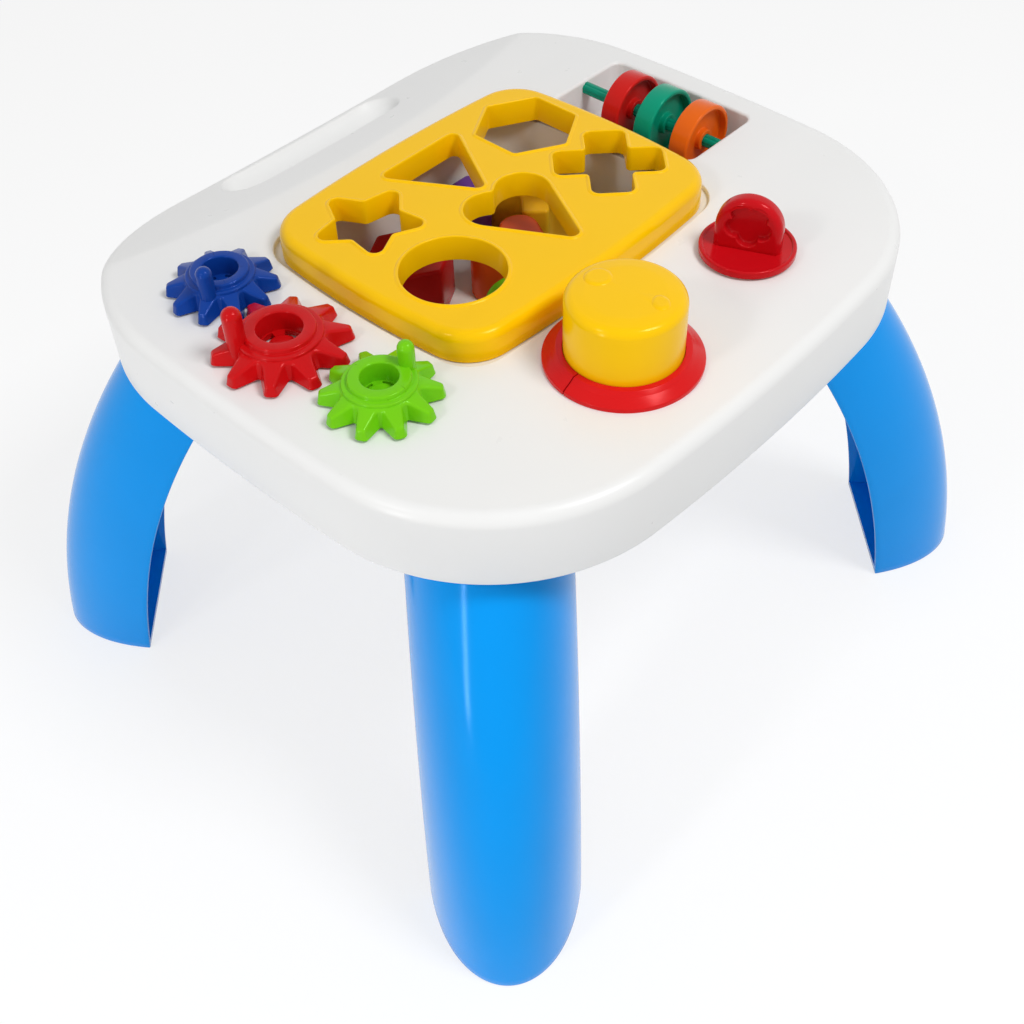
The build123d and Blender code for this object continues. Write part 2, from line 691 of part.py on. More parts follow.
def turning_knob():
    plate_top = knob_plate + knob_rim_rise
    rim_in = knob_radius - knob_rim_width
    body = turned([(0, 0), (knob_radius, 0), (knob_radius, plate_top), (rim_in, plate_top),
                   (rim_in, knob_plate), (0, knob_plate)])
    brim = [edge for edge in body.edges().filter_by(GeomType.CIRCLE)
            if abs(edge.center().Z - plate_top) < slip_gap]
    body = fillet(brim, knob_rim_rise * knob_rim_round_share)
    arch_height = grip_top - turn_lift - grip_half_width
    arch = Pos(0, arch_height / 2) * Rectangle(2 * grip_half_width, arch_height)
    arch += Pos(0, arch_height) * Circle(grip_half_width)
    grip = Rot(90, 0, 0) * extrude(arch, amount=grip_thickness / 2, both=True)
    sides = grip.faces().sort_by(Axis.Y)
    rims = [edge for face in (sides[0], sides[-1]) for edge in face.edges()
            if edge.bounding_box().max.Z > knob_plate]
    grip = fillet(rims, grip_edge_radius)
    recess = Pos(0, (grip_recess_base + knob_plate + grip_lobe_height) / 2) * Rectangle(
        2 * (grip_lobe_spread + grip_lobe_radius * grip_lobe_share),
        grip_lobe_height - grip_recess_base - knob_plate)
    recess += Pos(0, grip_crown_height) * Circle(grip_lobe_radius)
    for side in (-1, 1):
        recess += Pos(side * grip_lobe_spread, grip_lobe_height) * Circle(grip_lobe_radius)
    for side in (-1, 1):
        face = Pos(0, side * (grip_thickness / 2 - grip_recess / 2), 0) * Rot(90, 0, 0)
        grip -= face * extrude(recess, amount=grip_recess / 2 + slip_gap, both=True)
    body += grip & tube(knob_radius, 0, grip_top)
    shaft_end = plate_under - boss_drop - slip_gap - turn_floor
    body += tube(knob_shaft_radius, shaft_end, knob_plate)
    body -= tube(screw_radius + thread_gap, shaft_end - overrun, shaft_end + screw_length - washer_thickness)
    return Pos(knob_place[0], knob_place[1], turn_floor) * Rot(0, 0, knob_turn_deg) * body


def leg_slice(level):
    """The leg's level section: a pointed round nose with straight back corners."""
    nose = Bezier((-leg_depth, -leg_half_width), (leg_depth, 0), (-leg_depth, leg_half_width))
    back = Line((-leg_depth, leg_half_width), (-leg_depth, -leg_half_width))
    return Pos(leg_shift(level), 0, level) * make_face([nose, back])


def leg_recess_slice(level):
    """The shallow panel that is sunk between the rims of the leg's back."""
    inner = leg_half_width - leg_rim
    return Pos(leg_shift(level) - leg_depth, 0, level) * Rectangle(2 * leg_recess, 2 * inner)


def leg(angle):
    levels = [leg_shoulder * index / (leg_sections - 1) for index in range(leg_sections)]
    body = loft([leg_slice(level) for level in levels])
    high = leg_shoulder - leg_head
    levels = [leg_sole + (high - leg_sole) * index / (leg_sections - 1) for index in range(leg_sections)]
    body -= loft([leg_recess_slice(level) for level in levels])
    body += Pos(0, 0, leg_shoulder) * extrude(tenon_plate(0), amount=tenon_height)
    body -= leg_screw_hole(screw_radius + thread_gap)
    return at_leg(angle) * body


def leg_screws():
    back = tenon_middle - tenon_depth / 2 - slip_gap - socket_wall
    level = leg_shoulder + leg_screw_rise
    return [at_leg(angle) * Pos(back, 0, level) * Rot(0, 90, 0) * screw() for angle in leg_angles.values()]


def bin_screws():
    level = table_height - tab_drop - tab_thickness
    return [Pos(place[0], place[1], level) * screw() for place, way in tab_places()]


def cup_screw_set():
    level = plate_under - cup_boss_drop - cup_flange_thickness
    return [Pos(place[0], place[1], level) * screw() for place in cup_screw_places()]


os.makedirs("parts", exist_ok=True)
shapes = sorter_shapes()
save("table_top", table_top())
save("sorter_lid", sorter_lid(shapes))
save("sorter_bin", sorter_bin())
for name, shape in shapes.items():
    save("block_" + name, block(shape, block_places[name]))
for name, gear in {"red": red_gear, "blue": blue_gear, "green": green_gear}.items():
    save("gear_" + name, toy_gear(gear))
    save("gear_" + name + "_washer", washer(gear["place"]))
    save("gear_" + name + "_screw", shaft_screw(gear["place"]))
save("roller_rod", roller_rod())
for name, place_y in roller_places.items():
    save(name, roller(place_y))
save("drum_cap", drum_cap())
save("drum_ring", drum_ring())
save("drum_cup", drum_cup())
save("drum_bellows", drum_bellows())
save("knob", turning_knob())
save("knob_washer", washer(knob_place))
save("knob_screw", shaft_screw(knob_place))
for name, angle in leg_angles.items():
    save(name, leg(angle))
save("leg_screws", Compound(children=leg_screws()))
save("bin_screws", Compound(children=bin_screws()))
save("cup_screws", Compound(children=cup_screw_set()))
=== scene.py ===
import math
import bpy
import bmesh
import numpy as np
from mathutils import Matrix, Vector
from mathutils.geometry import delaunay_2d_cdt


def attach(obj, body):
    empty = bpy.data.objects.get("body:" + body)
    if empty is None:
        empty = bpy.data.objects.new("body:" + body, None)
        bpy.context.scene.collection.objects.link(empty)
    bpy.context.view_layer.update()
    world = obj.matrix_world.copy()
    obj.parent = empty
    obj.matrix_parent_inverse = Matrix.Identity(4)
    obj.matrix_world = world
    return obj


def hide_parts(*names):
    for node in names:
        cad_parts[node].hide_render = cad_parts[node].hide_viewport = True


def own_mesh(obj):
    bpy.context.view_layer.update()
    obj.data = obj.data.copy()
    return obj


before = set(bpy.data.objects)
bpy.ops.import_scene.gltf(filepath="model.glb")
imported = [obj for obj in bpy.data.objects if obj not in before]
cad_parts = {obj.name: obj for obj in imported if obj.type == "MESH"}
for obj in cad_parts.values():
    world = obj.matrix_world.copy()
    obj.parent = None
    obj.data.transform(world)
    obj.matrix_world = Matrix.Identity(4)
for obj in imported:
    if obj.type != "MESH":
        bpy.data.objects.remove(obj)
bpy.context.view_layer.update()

# Moulded top: one white injection-moulded shell, a flat play plate with a deep rounded skirt.
# Its +Y side is scooped into a sloping flank with a crayon groove, and the roller pocket is moulded in.
# Shaft bosses, screw bosses and sockets for the leg plugs hang under the plate.
MM = 0.001
QUARTER = math.pi / 2
table_level = 313.0
table_half = (218.0, 203.0)
table_bow = (11.0, 16.0)
table_corner = 126.0
skirt_level = table_level - 49.5
skirt_edge = ((0.0, 1.4), (-0.25, 0.55), (-0.8, 0.1), (-1.5, 0.0), (-2.3, 0.1), (-2.8, 0.45), (-3.0, 1.0))
shell_wall = 3.0
under_level = table_level - shell_wall
rim_radius = 8.0
rim_steps = 10
crease_reach = 127.0
crease_radius = 685.0
crease_softness = 2.4
flank_slope = math.radians(17.0)
groove_half = 57.0
groove_radius = 19.0
groove_lift = 7.5
groove_reach = 177.5
lid_middle = np.array((0.0, 7.8))
lid_bow = (5.8, 5.8)
opening_half = (116.8, 92.9)
opening_corner = 25.0
opening_edge = [(1.0, 0.0), (0.62, -0.07), (0.29, -0.29), (0.07, -0.62), (0.0, -1.0), (0.0, -shell_wall)]
pocket_middle = np.array((162.0, 15.0))
pocket_size = (68.0, 114.6)
pocket_corner = 7.0
pocket_lip = 2.2
pocket_foot = 4.0
pocket_wall = 2.5
pocket_floor = table_level - 34.0
rod_block = (14.0, 6.4, 1.2)
rod_block_drop = 13.0
drum_middle = np.array((-47.2, -131.7))
drum_hole_radius = 36.55
drum_hole_edge = 0.5
knob_middle = np.array((73.8, -126.3))
gear_middles = {"red": np.array((-165.0, 13.0)), "blue": np.array((-153.0, 79.0)),
                "green": np.array((-157.0, -57.0))}
shafts = [(middle, 4.66) for middle in gear_middles.values()] + [(knob_middle, 5.06)]
boss_radius = 8.0
boss_drop = 8.0
seat_radius = 6.6
seat_rise = 1.2
overlap = 0.2


def linear(colour):
    """A colour as a screen shows it, in parts of 255, as the light it stands for."""
    parts = np.array(colour) / 255.0
    return np.where(parts <= 0.04045, parts / 12.92, ((parts + 0.055) / 1.055) ** 2.4)


def feed(tree, node, values):
    """The inputs of a node, each linked to a socket or sockets, or set to a constant."""
    for key, value in values.items():
        for source in value if isinstance(value, list) else [value]:
            if isinstance(source, bpy.types.NodeSocket):
                tree.links.new(source, node.inputs[key])
            else:
                node.inputs[key].default_value = source


def add_node(tree, kind, values, **settings):
    """A new node with its settings and inputs, given back as its first output in use."""
    node = tree.nodes.new(kind)
    for key, value in settings.items():
        setattr(node, key, value)
    feed(tree, node, values)
    return next((output for output in node.outputs if output.enabled), None)


def moulded_plastic(name, colour, rough=0.2, mottle=0.035, grain=0.03, grain_size=0.0016, ripple=0.05,
                    metal=0.0):
    """Gloss plastic as it leaves the mould: slight colour drift, flow ripple and a fine grain."""
    material = bpy.data.materials.new(name)
    material.use_nodes = True
    tree = material.node_tree
    place = tree.nodes.new("ShaderNodeTexCoord").outputs["Object"]
    drift_size, gloss_size, flow_size = 0.045, 0.012, 0.03

    def noise(size, detail):
        return add_node(tree, "ShaderNodeTexNoise", {"Vector": place, "Scale": 1.0 / size, "Detail": detail})

    base = linear(colour)
    dark = (*(base * (1 - mottle)), 1.0)
    pale = (*np.minimum(base * (1 + mottle), 1.0), 1.0)
    drift = add_node(tree, "ShaderNodeMix", {"Factor": noise(drift_size, 3.0), "A": dark, "B": pale},
                     data_type="RGBA")
    gloss = add_node(tree, "ShaderNodeMapRange", {
        "Value": noise(gloss_size, 4.0), "From Min": 0.25, "From Max": 0.75,
        "To Min": rough * 0.9, "To Max": rough * 1.1})
    flow = add_node(tree, "ShaderNodeBump", {
        "Height": noise(flow_size, 1.0), "Strength": ripple, "Distance": 0.0008})
    fine = add_node(tree, "ShaderNodeBump", {
        "Height": noise(grain_size, 2.0), "Strength": grain, "Distance": 0.0002, "Normal": flow})
    feed(tree, tree.nodes["Principled BSDF"], {
        "Base Color": drift, "Roughness": gloss, "Normal": fine, "Metallic": metal, "IOR": 1.49,
        "Specular IOR Level": 0.3, "Specular Tint": (*(0.3 + 0.7 * base / max(base)), 1.0)})
    return material


def arc(middle, radius, start, end, pitch=3.0):
    """Points along an arc, in radians from start to end."""
    sweep_angle = abs(end - start)
    steps = max(3, int(math.ceil(sweep_angle * radius / pitch)), int(math.ceil(sweep_angle / 0.2)))
    angles = np.linspace(start, end, steps + 1)
    return np.column_stack((middle[0] + radius * np.cos(angles), middle[1] + radius * np.sin(angles)))


def bend(off, level, radius, start, end, count=7):
    """Steps of a profile round an arc about (off, level), in radians from start to end."""
    return [(off + radius * math.cos(turn), level + radius * math.sin(turn))
            for turn in np.linspace(start, end, count)]


def circle(middle, radius, count=64):
    """Points round a circle, anticlockwise from its +X side."""
    angles = np.arange(count) * 2 * math.pi / count
    return np.column_stack((middle[0] + radius * np.cos(angles), middle[1] + radius * np.sin(angles)))


def stadium(left, right, radius, pitch):
    """A round-ended slot along X, between the middles of its two ends."""
    return np.vstack((arc((right, 0.0), radius, -QUARTER, QUARTER, pitch),
                      arc((left, 0.0), radius, QUARTER, 3 * QUARTER, pitch)))


def bowed_outline(half, bow, corner, pitch=3.0):
    """A rectangle whose sides bulge, with large round corners, anticlockwise from the +X end."""
    end_radius = ((half[1] - bow[1]) ** 2 + bow[0] ** 2) / (2 * bow[0])
    side_radius = ((half[0] - bow[0]) ** 2 + bow[1] ** 2) / (2 * bow[1])
    end_middle = np.array((half[0] - end_radius, 0.0))
    side_middle = np.array((0.0, half[1] - side_radius))
    apart = side_middle - end_middle
    gap = np.linalg.norm(apart)
    reach_end = end_radius - corner
    reach_side = side_radius - corner
    along = (gap**2 + reach_end**2 - reach_side**2) / (2 * gap)
    across = math.sqrt(reach_end**2 - along**2)
    unit = apart / gap
    aside = np.array((-unit[1], unit[0]))
    choices = [end_middle + unit * along + side * across * aside for side in (-1, 1)]
    corner_middle = max(choices, key=sum)
    leave = math.atan2(*(corner_middle - end_middle)[::-1])
    join = math.atan2(*(corner_middle - side_middle)[::-1])
    quarter = np.vstack((arc(end_middle, end_radius, 0.0, leave, pitch),
                         arc(corner_middle, corner, leave, join, pitch)[1:],
                         arc(side_middle, side_radius, join, QUARTER, pitch)[1:]))
    upper = np.vstack((quarter, quarter[::-1][1:] * (-1, 1)))
    return np.vstack((upper, upper[::-1][1:-1] * (1, -1)))


def rounded(points, radii, closed=True, steps=6):
    """A path of straight runs whose corners are rounded, each by its own radius."""
    points = [np.array(point, float) for point in points]
    count = len(points)
    path = []
    for index, here in enumerate(points):
        radius = radii if np.isscalar(radii) else radii[index]
        if radius == 0 or (not closed and index in (0, count - 1)):
            path.append(here)
            continue
        back = points[index - 1] - here
        ahead = points[(index + 1) % count] - here
        room = 0.49 * min(np.linalg.norm(back), np.linalg.norm(ahead))
        back = back / np.linalg.norm(back)
        ahead = ahead / np.linalg.norm(ahead)
        half = 0.5 * math.acos(max(-1.0, min(1.0, float(back @ ahead))))
        reach = min(radius / math.tan(half), room)
        radius = reach * math.tan(half)
        middle = here + (back + ahead) / np.linalg.norm(back + ahead) * radius / math.sin(half)
        first = here + back * reach - middle
        last = here + ahead * reach - middle
        start = math.atan2(first[1], first[0])
        turn = (math.atan2(last[1], last[0]) - start + math.pi) % (2 * math.pi) - math.pi
        for angle in start + turn * np.linspace(0.0, 1.0, steps + 1):
            path.append(middle + radius * np.array((math.cos(angle), math.sin(angle))))
    return np.array(path)


def box_outline(length, width, corner):
    """A rounded rectangle round the origin."""
    half_x, half_y = length / 2, width / 2
    return rounded([(half_x, -half_y), (half_x, half_y), (-half_x, half_y), (-half_x, -half_y)], corner)


def divided(loop, pitch):
    """The same closed loop with its long runs cut into short ones."""
    path = []
    for here, after in zip(loop, np.roll(loop, -1, axis=0)):
        pieces = max(1, int(math.ceil(np.linalg.norm(after - here) / pitch)))
        path.extend(here + (after - here) * step / pieces for step in range(pieces))
    return np.array(path)


def outward(loop):
    """Which way is out, at each point of an anticlockwise loop."""
    ahead = np.roll(loop, -1, axis=0) - loop
    ahead = ahead / np.linalg.norm(ahead, axis=1)[:, None]
    along = ahead + np.roll(ahead, 1, axis=0)
    along = along / np.linalg.norm(along, axis=1)[:, None]
    return np.column_stack((along[:, 1], -along[:, 0]))


def offset(loop, off):
    """A loop moved out by one distance, or by one for each point."""
    return loop + outward(loop) * np.reshape(np.broadcast_to(off, len(loop)), (-1, 1))


def row(loop, off, level):
    """A loop moved out and set at a level."""
    return np.column_stack((offset(loop, off), np.broadcast_to(level, len(loop))))


def skin(rows, lids="none"):
    """Quads over a stack of closed rows, with a flat lid on none of its ends, on the last or on both."""
    count = len(rows[0])
    faces = []
    for upper in range(len(rows) - 1):
        for index in range(count):
            after = (index + 1) % count
            faces.append((upper * count + index, upper * count + after,
                          (upper + 1) * count + after, (upper + 1) * count + index))
    if lids == "both":
        faces.append(tuple(range(count)))
    if lids != "none":
        faces.append(tuple(range((len(rows) - 1) * count, len(rows) * count)))
    return np.vstack(rows), faces


def sweep(loop, profile, base=0.0, lids="none"):
    """A loop carried along a profile of (out, level over the base) steps."""
    return skin([row(loop, off, base + level) for off, level in profile], lids)


def shelf(loop, low, high, edge=0.8):
    """A closed upright block of one outline with softened ends."""
    end = [(-edge - 0.4, 0.0), (-edge, 0.0), (-edge * 0.3, edge * 0.3), (0.0, edge)]
    profile = [(off, low + rise) for off, rise in end] + [(off, high - rise) for off, rise in end[::-1]]
    return sweep(loop, profile, lids="both")


def within(spots, loop):
    """Which spots lie inside a closed loop."""
    inside = np.zeros(len(spots), bool)
    for here, after in zip(loop, np.roll(loop, -1, axis=0)):
        crosses = (here[1] > spots[:, 1]) != (after[1] > spots[:, 1])
        rise = after[1] - here[1] if after[1] != here[1] else 1.0
        inside ^= crosses & (spots[:, 0] < here[0] + (spots[:, 1] - here[1]) * (after[0] - here[0]) / rise)
    return inside


def sheet(border, holes, spots, height, hem):
    """A sheet of triangles inside a border and round holes, at one level or at the height of each point."""
    clear_of_edges = 1.6
    hems = [offset(border, -hem)] + [offset(hole, hem) for hole in holes]
    inner = within(spots, hems[0])
    for edge in hems[1:]:
        inner &= ~within(spots, edge)
    spots = spots[inner]
    for edge in hems:
        apart = np.array([np.min(np.hypot(edge[:, 0] - x, edge[:, 1] - y)) for x, y in spots])
        spots = spots[apart > clear_of_edges] if len(spots) else spots
    points = []
    edges = []
    for loop in [border] + holes + hems:
        first = len(points)
        points.extend(Vector(point) for point in loop)
        edges.extend((first + index, first + (index + 1) % len(loop)) for index in range(len(loop)))
    points.extend(Vector(spot) for spot in spots)
    flat, _, faces, _, _, _ = delaunay_2d_cdt(points, edges, [], 0, 1e-7)
    flat = np.array([tuple(point) for point in flat])
    faces = np.array([tuple(face) for face in faces])
    middles = flat[faces].mean(axis=1)
    keep = within(middles, border)
    for hole in holes:
        keep &= ~within(middles, hole)
    levels = height(flat) if callable(height) else np.full(len(flat), height)
    return np.column_stack((flat, levels)), [tuple(face) for face in faces[keep]]


def grid(half_x, low_y, high_y, pitch):
    """Points at even steps, which keep the triangles of a sheet small."""
    across = np.arange(-half_x, half_x + 1.0, pitch)
    along = np.arange(low_y, high_y + 1.0, pitch)
    return np.stack(np.meshgrid(across, along), -1).reshape(-1, 2)


def polar(reach, degrees):
    """A flat point at a distance and an angle from the origin."""
    return reach * np.array((math.cos(math.radians(degrees)), math.sin(math.radians(degrees))))


def turned(points, turn):
    """Flat points turned about the origin."""
    x, y = np.transpose(points)
    cos, sin = math.cos(turn), math.sin(turn)
    return np.column_stack((x * cos - y * sin, x * sin + y * cos))


def moved(shell, shift, turn=0.0):
    """A shell turned about Z and moved into place."""
    points, faces = shell
    return np.column_stack((turned(points[:, :2], turn), points[:, 2])) + shift, faces


def on_body(name, mesh, sharp, body, node):
    """An object of a mesh, sharp where its faces turn by more than an angle, which rides on a body."""
    mesh.shade_smooth()
    mesh.set_sharp_from_angle(angle=math.radians(sharp))
    made = bpy.data.objects.new(name, mesh)
    bpy.context.scene.collection.objects.link(made)
    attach(made, body)
    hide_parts(node)
    return made


def piece(name, shells, material, body, node):
    """One mesh of closed shells given in millimetres, which takes the place of a solid."""
    points = []
    faces = []
    for shell_points, shell_faces in shells:
        faces.extend(tuple(int(corner) + len(points) for corner in face) for face in shell_faces)
        points.extend(tuple(point) for point in np.asarray(shell_points) * MM)
    mesh = bpy.data.meshes.new(name)
    mesh.from_pydata(points, [], faces)
    form = bmesh.new()
    form.from_mesh(mesh)
    bmesh.ops.remove_doubles(form, verts=form.verts, dist=2e-6)
    bmesh.ops.dissolve_degenerate(form, edges=form.edges, dist=1e-6)
    bmesh.ops.recalc_face_normals(form, faces=form.faces)
    form.to_mesh(mesh)
    form.free()
    mesh.materials.append(material)
    return on_body(name, mesh, 38.0, body, node)


def plate_height(spots):
    """The top's upper surface before its groove is pressed in: flat, then falling past the crease."""
    past = crease_radius - np.hypot(spots[:, 0], spots[:, 1] - crease_reach - crease_radius)
    return table_level - math.tan(flank_slope) * (past + np.sqrt(past**2 + crease_softness**2)) / 2


def plate_under(spots):
    """The underside of the plate."""
    return plate_height(spots) - shell_wall


def with_groove(shell):
    """A sheet of the top with a round-ended, soft-lipped trough pressed square into its flank."""
    points, faces = shell
    along = np.maximum(np.abs(points[:, 0]) - groove_half, 0.0)
    across = (points[:, 1] - groove_reach) / math.cos(flank_slope)
    softness = 2.2 - 1.2 * np.tanh(across / 6.0)
    bowl = np.sqrt(np.maximum(groove_radius**2 - along**2 - across**2, 0.0)) - groove_lift
    rest = np.sqrt(groove_lift**2 + softness**2) - groove_lift
    depth = np.maximum(bowl + np.sqrt(bowl**2 + softness**2) - rest, 0.0) / 2
    return points - depth[:, None] * (0.0, math.sin(flank_slope), math.cos(flank_slope)), faces


def crease_spots():
    """Points that follow the crease and the groove, so that the sheet bends along them."""
    past = np.array((-30, -18, -10, -6, -4, -2.6, -1.4, -0.4, 0.6, 1.6, 2.8,
                     4.2, 6, 9, 13, 18, 24, 31, 39, 48, 58))
    turns = np.radians(np.arange(-17.0, 17.01, 0.55))
    reach = crease_radius - past[:, None]
    spots = np.column_stack(((reach * np.sin(turns)).ravel(),
                             (crease_reach + crease_radius - reach * np.cos(turns)).ravel()))
    across = (spots[:, 1] - groove_reach) / math.cos(flank_slope)
    beside = np.hypot(np.maximum(np.abs(spots[:, 0]) - groove_half, 0), across)
    rings = [spots[beside > 22.0]]
    for off in (0.02, 2.5, 5, 7.5, 9.6, 11.4, 13, 14.2, 15.2, 16, 16.6,
                17.1, 17.5, 17.9, 18.3, 18.7, 19, 19.6, 20.8):
        ring = divided(stadium(-groove_half, groove_half, off, 2.5), 3.2)
        rings.append(ring * (1, math.cos(flank_slope)) + (0, groove_reach))
    return np.vstack(rings)


table_outline = bowed_outline(table_half, table_bow, table_corner)
rim_fall = (plate_height(offset(table_outline, -rim_radius - 1))
            - plate_height(offset(table_outline, 1 - rim_radius))) / 2
rim_tilt = np.arctan(np.maximum(rim_fall, 0.0))
rim_middle = plate_height(offset(table_outline, -rim_radius)) - rim_radius / np.cos(rim_tilt)
rim_hollow = rim_radius - shell_wall
rim_rows = []
under_rows = []
for step in range(rim_steps + 1):
    lift = (QUARTER - rim_tilt) * (1 - step / rim_steps)
    out, rise = np.cos(lift), np.sin(lift)
    rim_rows.append(row(table_outline, rim_radius * (out - 1), rim_middle + rim_radius * rise))
    under_rows.insert(0, row(table_outline, rim_hollow * out - rim_radius, rim_middle + rim_hollow * rise))
rim_rows[0][:, 2] = plate_height(rim_rows[0][:, :2])
under_rows[-1][:, 2] = plate_under(under_rows[-1][:, :2])
skirt_rows = [row(table_outline, off, skirt_level + rise) for off, rise in skirt_edge]
lid_opening = bowed_outline(opening_half, lid_bow, opening_corner, 4.0) + lid_middle
pocket_outline = divided(box_outline(*pocket_size, pocket_corner), 4.0) + pocket_middle
drum_hole = circle(drum_middle, drum_hole_radius)
shaft_holes = [circle(middle, radius, 32) for middle, radius in shafts]
plate_spots = np.vstack((grid(216.0, -198.0, 111.0, 12.0), crease_spots()))
top_holes = [offset(lid_opening, opening_edge[0][0]), offset(pocket_outline, pocket_lip),
             offset(drum_hole, drum_hole_edge)] + shaft_holes
under_holes = [lid_opening, offset(pocket_outline, pocket_wall), drum_hole] + shaft_holes
top_shells = [skin(rim_rows + skirt_rows + under_rows)]
plate_faces = ((rim_rows[0], top_holes, plate_height), (under_rows[-1], under_holes, plate_under))
for edge, holes, height in plate_faces:
    top_shells.append(with_groove(sheet(edge[:, :2], holes, plate_spots, height, 0.6)))
top_shells.append(sweep(lid_opening, opening_edge, table_level))
drum_hole_profile = [(drum_hole_edge, 0.0), (0.0, -drum_hole_edge), (0.0, -shell_wall)]
top_shells.append(sweep(drum_hole, drum_hole_profile, table_level))
for shaft_hole in shaft_holes:
    top_shells.append(sweep(shaft_hole, [(0.0, table_level), (0.0, under_level)]))
pocket_inside = bend(pocket_lip, table_level - pocket_lip, pocket_lip, QUARTER, 2 * QUARTER)
pocket_inside += bend(-pocket_foot, pocket_floor + pocket_foot, pocket_foot, 0.0, -QUARTER)
pocket_inside.append((-pocket_foot - 0.5, pocket_floor))
top_shells.append(sweep(pocket_outline, pocket_inside, lids="last"))
pocket_outside = [(pocket_wall, under_level), (pocket_wall, pocket_floor + 1.5), (1.6, pocket_floor - 1.3),
                  (-1.0, pocket_floor - pocket_wall), (-1.5, pocket_floor - pocket_wall)]
top_shells.append(sweep(pocket_outline, pocket_outside, lids="last"))
for middle, radius in shafts:
    ring = circle(middle, radius, 48)
    boss = boss_radius - radius
    seat = seat_radius - radius
    below = [(0.0, overlap), (0.0, -boss_drop), (boss - 0.6, -boss_drop), (boss, 0.6 - boss_drop),
             (boss, overlap), (0.0, overlap)]
    above = [(0.0, -overlap), (0.0, seat_rise), (seat - 0.4, seat_rise), (seat, seat_rise - 0.4),
             (seat, -overlap), (0.0, -overlap)]
    top_shells += [sweep(ring, below, under_level), sweep(ring, above, table_level)]
for side in (-1, 1):
    rod_end = box_outline(*rod_block) + pocket_middle + (0.0, side * (pocket_size[1] / 2 + 5.5))
    top_shells.append(shelf(rod_end, table_level - rod_block_drop, under_level + 0.4))
tab_drop = 11.0
bin_tabs = [((-62.81, 111.9), 90.0), ((62.81, 111.9), 90.0), ((11.42, -96.3), -90.0),
            ((-128.0, -30.126), 180.0), ((-128.0, 52.95), 180.0)]
cup_screw_spots = [drum_middle + polar(44.0, turn) for turn in (40.0, 160.0, 280.0)]
screw_bosses = [(place, table_level - tab_drop) for place, turn in bin_tabs]
screw_bosses += [(place, under_level - 6.0) for place in cup_screw_spots]
for place, foot in screw_bosses:
    top_shells.append(shelf(circle(place, 4.0, 32), foot, under_level + 0.4, 0.4))
foot_nose = (252.0, 226.0)
leg_turns = {"leg_back_right": 45.0, "leg_back_left": 135.0,
             "leg_front_left": 225.0, "leg_front_right": 315.0}
leg_lean = 115.0
leg_shoulder = table_level - 45.0
plug_size = (25.0, 42.0)
plug_corner = 5.0
plug_gap = 0.3
plug_middle = -leg_lean - 44.0 + plug_size[0] / 2
socket_wall = 2.5
socket_height = 62.0


def at_leg(shell, turn):
    """A shell of a leg's own axes, X out through its nose, carried to its corner of the table."""
    way = math.radians(turn)
    side_x = math.copysign(foot_nose[0], math.cos(way))
    side_y = math.copysign(foot_nose[1], math.sin(way))
    return moved(shell, (side_x, side_y, 0.0), way)


socket_size = [size + 2 * plug_gap for size in plug_size]
plug_hole = box_outline(*socket_size, plug_corner + plug_gap) + (plug_middle, 0.0)
socket_profile = [(0.0, 0.0), (socket_wall - 0.5, 0.0), (socket_wall, 0.5), (socket_wall, 32.0),
                  (socket_wall, socket_height), (0.0, socket_height), (0.0, 0.0)]
for turn in leg_turns.values():
    socket, faces = at_leg(sweep(plug_hole, socket_profile, leg_shoulder), turn)
    socket[:, 2] = np.minimum(socket[:, 2], plate_height(socket[:, :2]) - 1.0)
    top_shells.append((socket, faces))
white_plastic = moulded_plastic("white moulded plastic", (240, 240, 239), rough=0.3, mottle=0.012,
                                ripple=0.03)
piece("moulded_top", top_shells, white_plastic, "table", "table_top")

# Legs: four hollow blue shells, open at the back, moulded in one with a sole, a head and a plug.
# Each has one blunt-nosed section that is shifted along an arc, so that it leans in under the top.
# The plug goes up into the top's socket, and one screw from inside holds it.
leg_depth = 65.0
leg_half_width = 48.0
leg_bow = 21.0
leg_wall = 3.0
leg_sole = 6.0
leg_ceiling = leg_shoulder - 18.0
back_edge = ((1.1, 0.17), (0.35, 0.34), (0.0, 1.0))
plug_height = 24.0


def leg_shift(level):
    """How far in the leg's nose stands from the foot's nose at a level."""
    chord = math.hypot(leg_lean, leg_shoulder)
    radius = (chord**2 / 4 + leg_bow**2) / (2 * leg_bow)
    out = (leg_shoulder / chord, leg_lean / chord)
    middle_x = -leg_lean / 2 + out[0] * (leg_bow - radius)
    middle_z = leg_shoulder / 2 + out[1] * (leg_bow - radius)
    return middle_x + math.sqrt(radius**2 - (level - middle_z) ** 2)


def nose_curve(back, nose, half_width):
    """The section's blunt nose, from one back corner round to the other."""
    share = np.linspace(0.0, 1.0, 57)[:, None]
    pull = (back + 4 * nose) / 3
    near, far = np.array(((pull, -0.72 * half_width), (pull, 0.72 * half_width)))
    ends = (1 - share) ** 3 * (-back, -half_width) + share**3 * (-back, half_width)
    return ends + 3 * share * (1 - share) * ((1 - share) * near + share * far)


def leg_section(hollow_back):
    """The leg's level outline, anticlockwise: the nose, the two back rims and the hollow or flat back."""
    nose = nose_curve(leg_depth, 0.0, leg_half_width)
    hollow = nose_curve(leg_depth + 2.0, -leg_wall, leg_half_width - 0.9 * leg_wall)[::-1]
    hollow[:, 0] = np.maximum(hollow[:, 0], -leg_depth) if hollow_back else -leg_depth
    soft = [np.array([(ahead - leg_depth, corner[1] - side * inward) for ahead, inward in back_edge])
            for corner, side in zip(nose[[0, -1]], (-1, 1))]
    return np.vstack((soft[0][::-1], nose[1:-1], soft[1], hollow))


def leg_row(section, level, inset=0.0):
    """The leg's outline at a level, shifted to where the arc has it there."""
    return row(section, -inset, level) + (leg_shift(level), 0.0, 0.0)


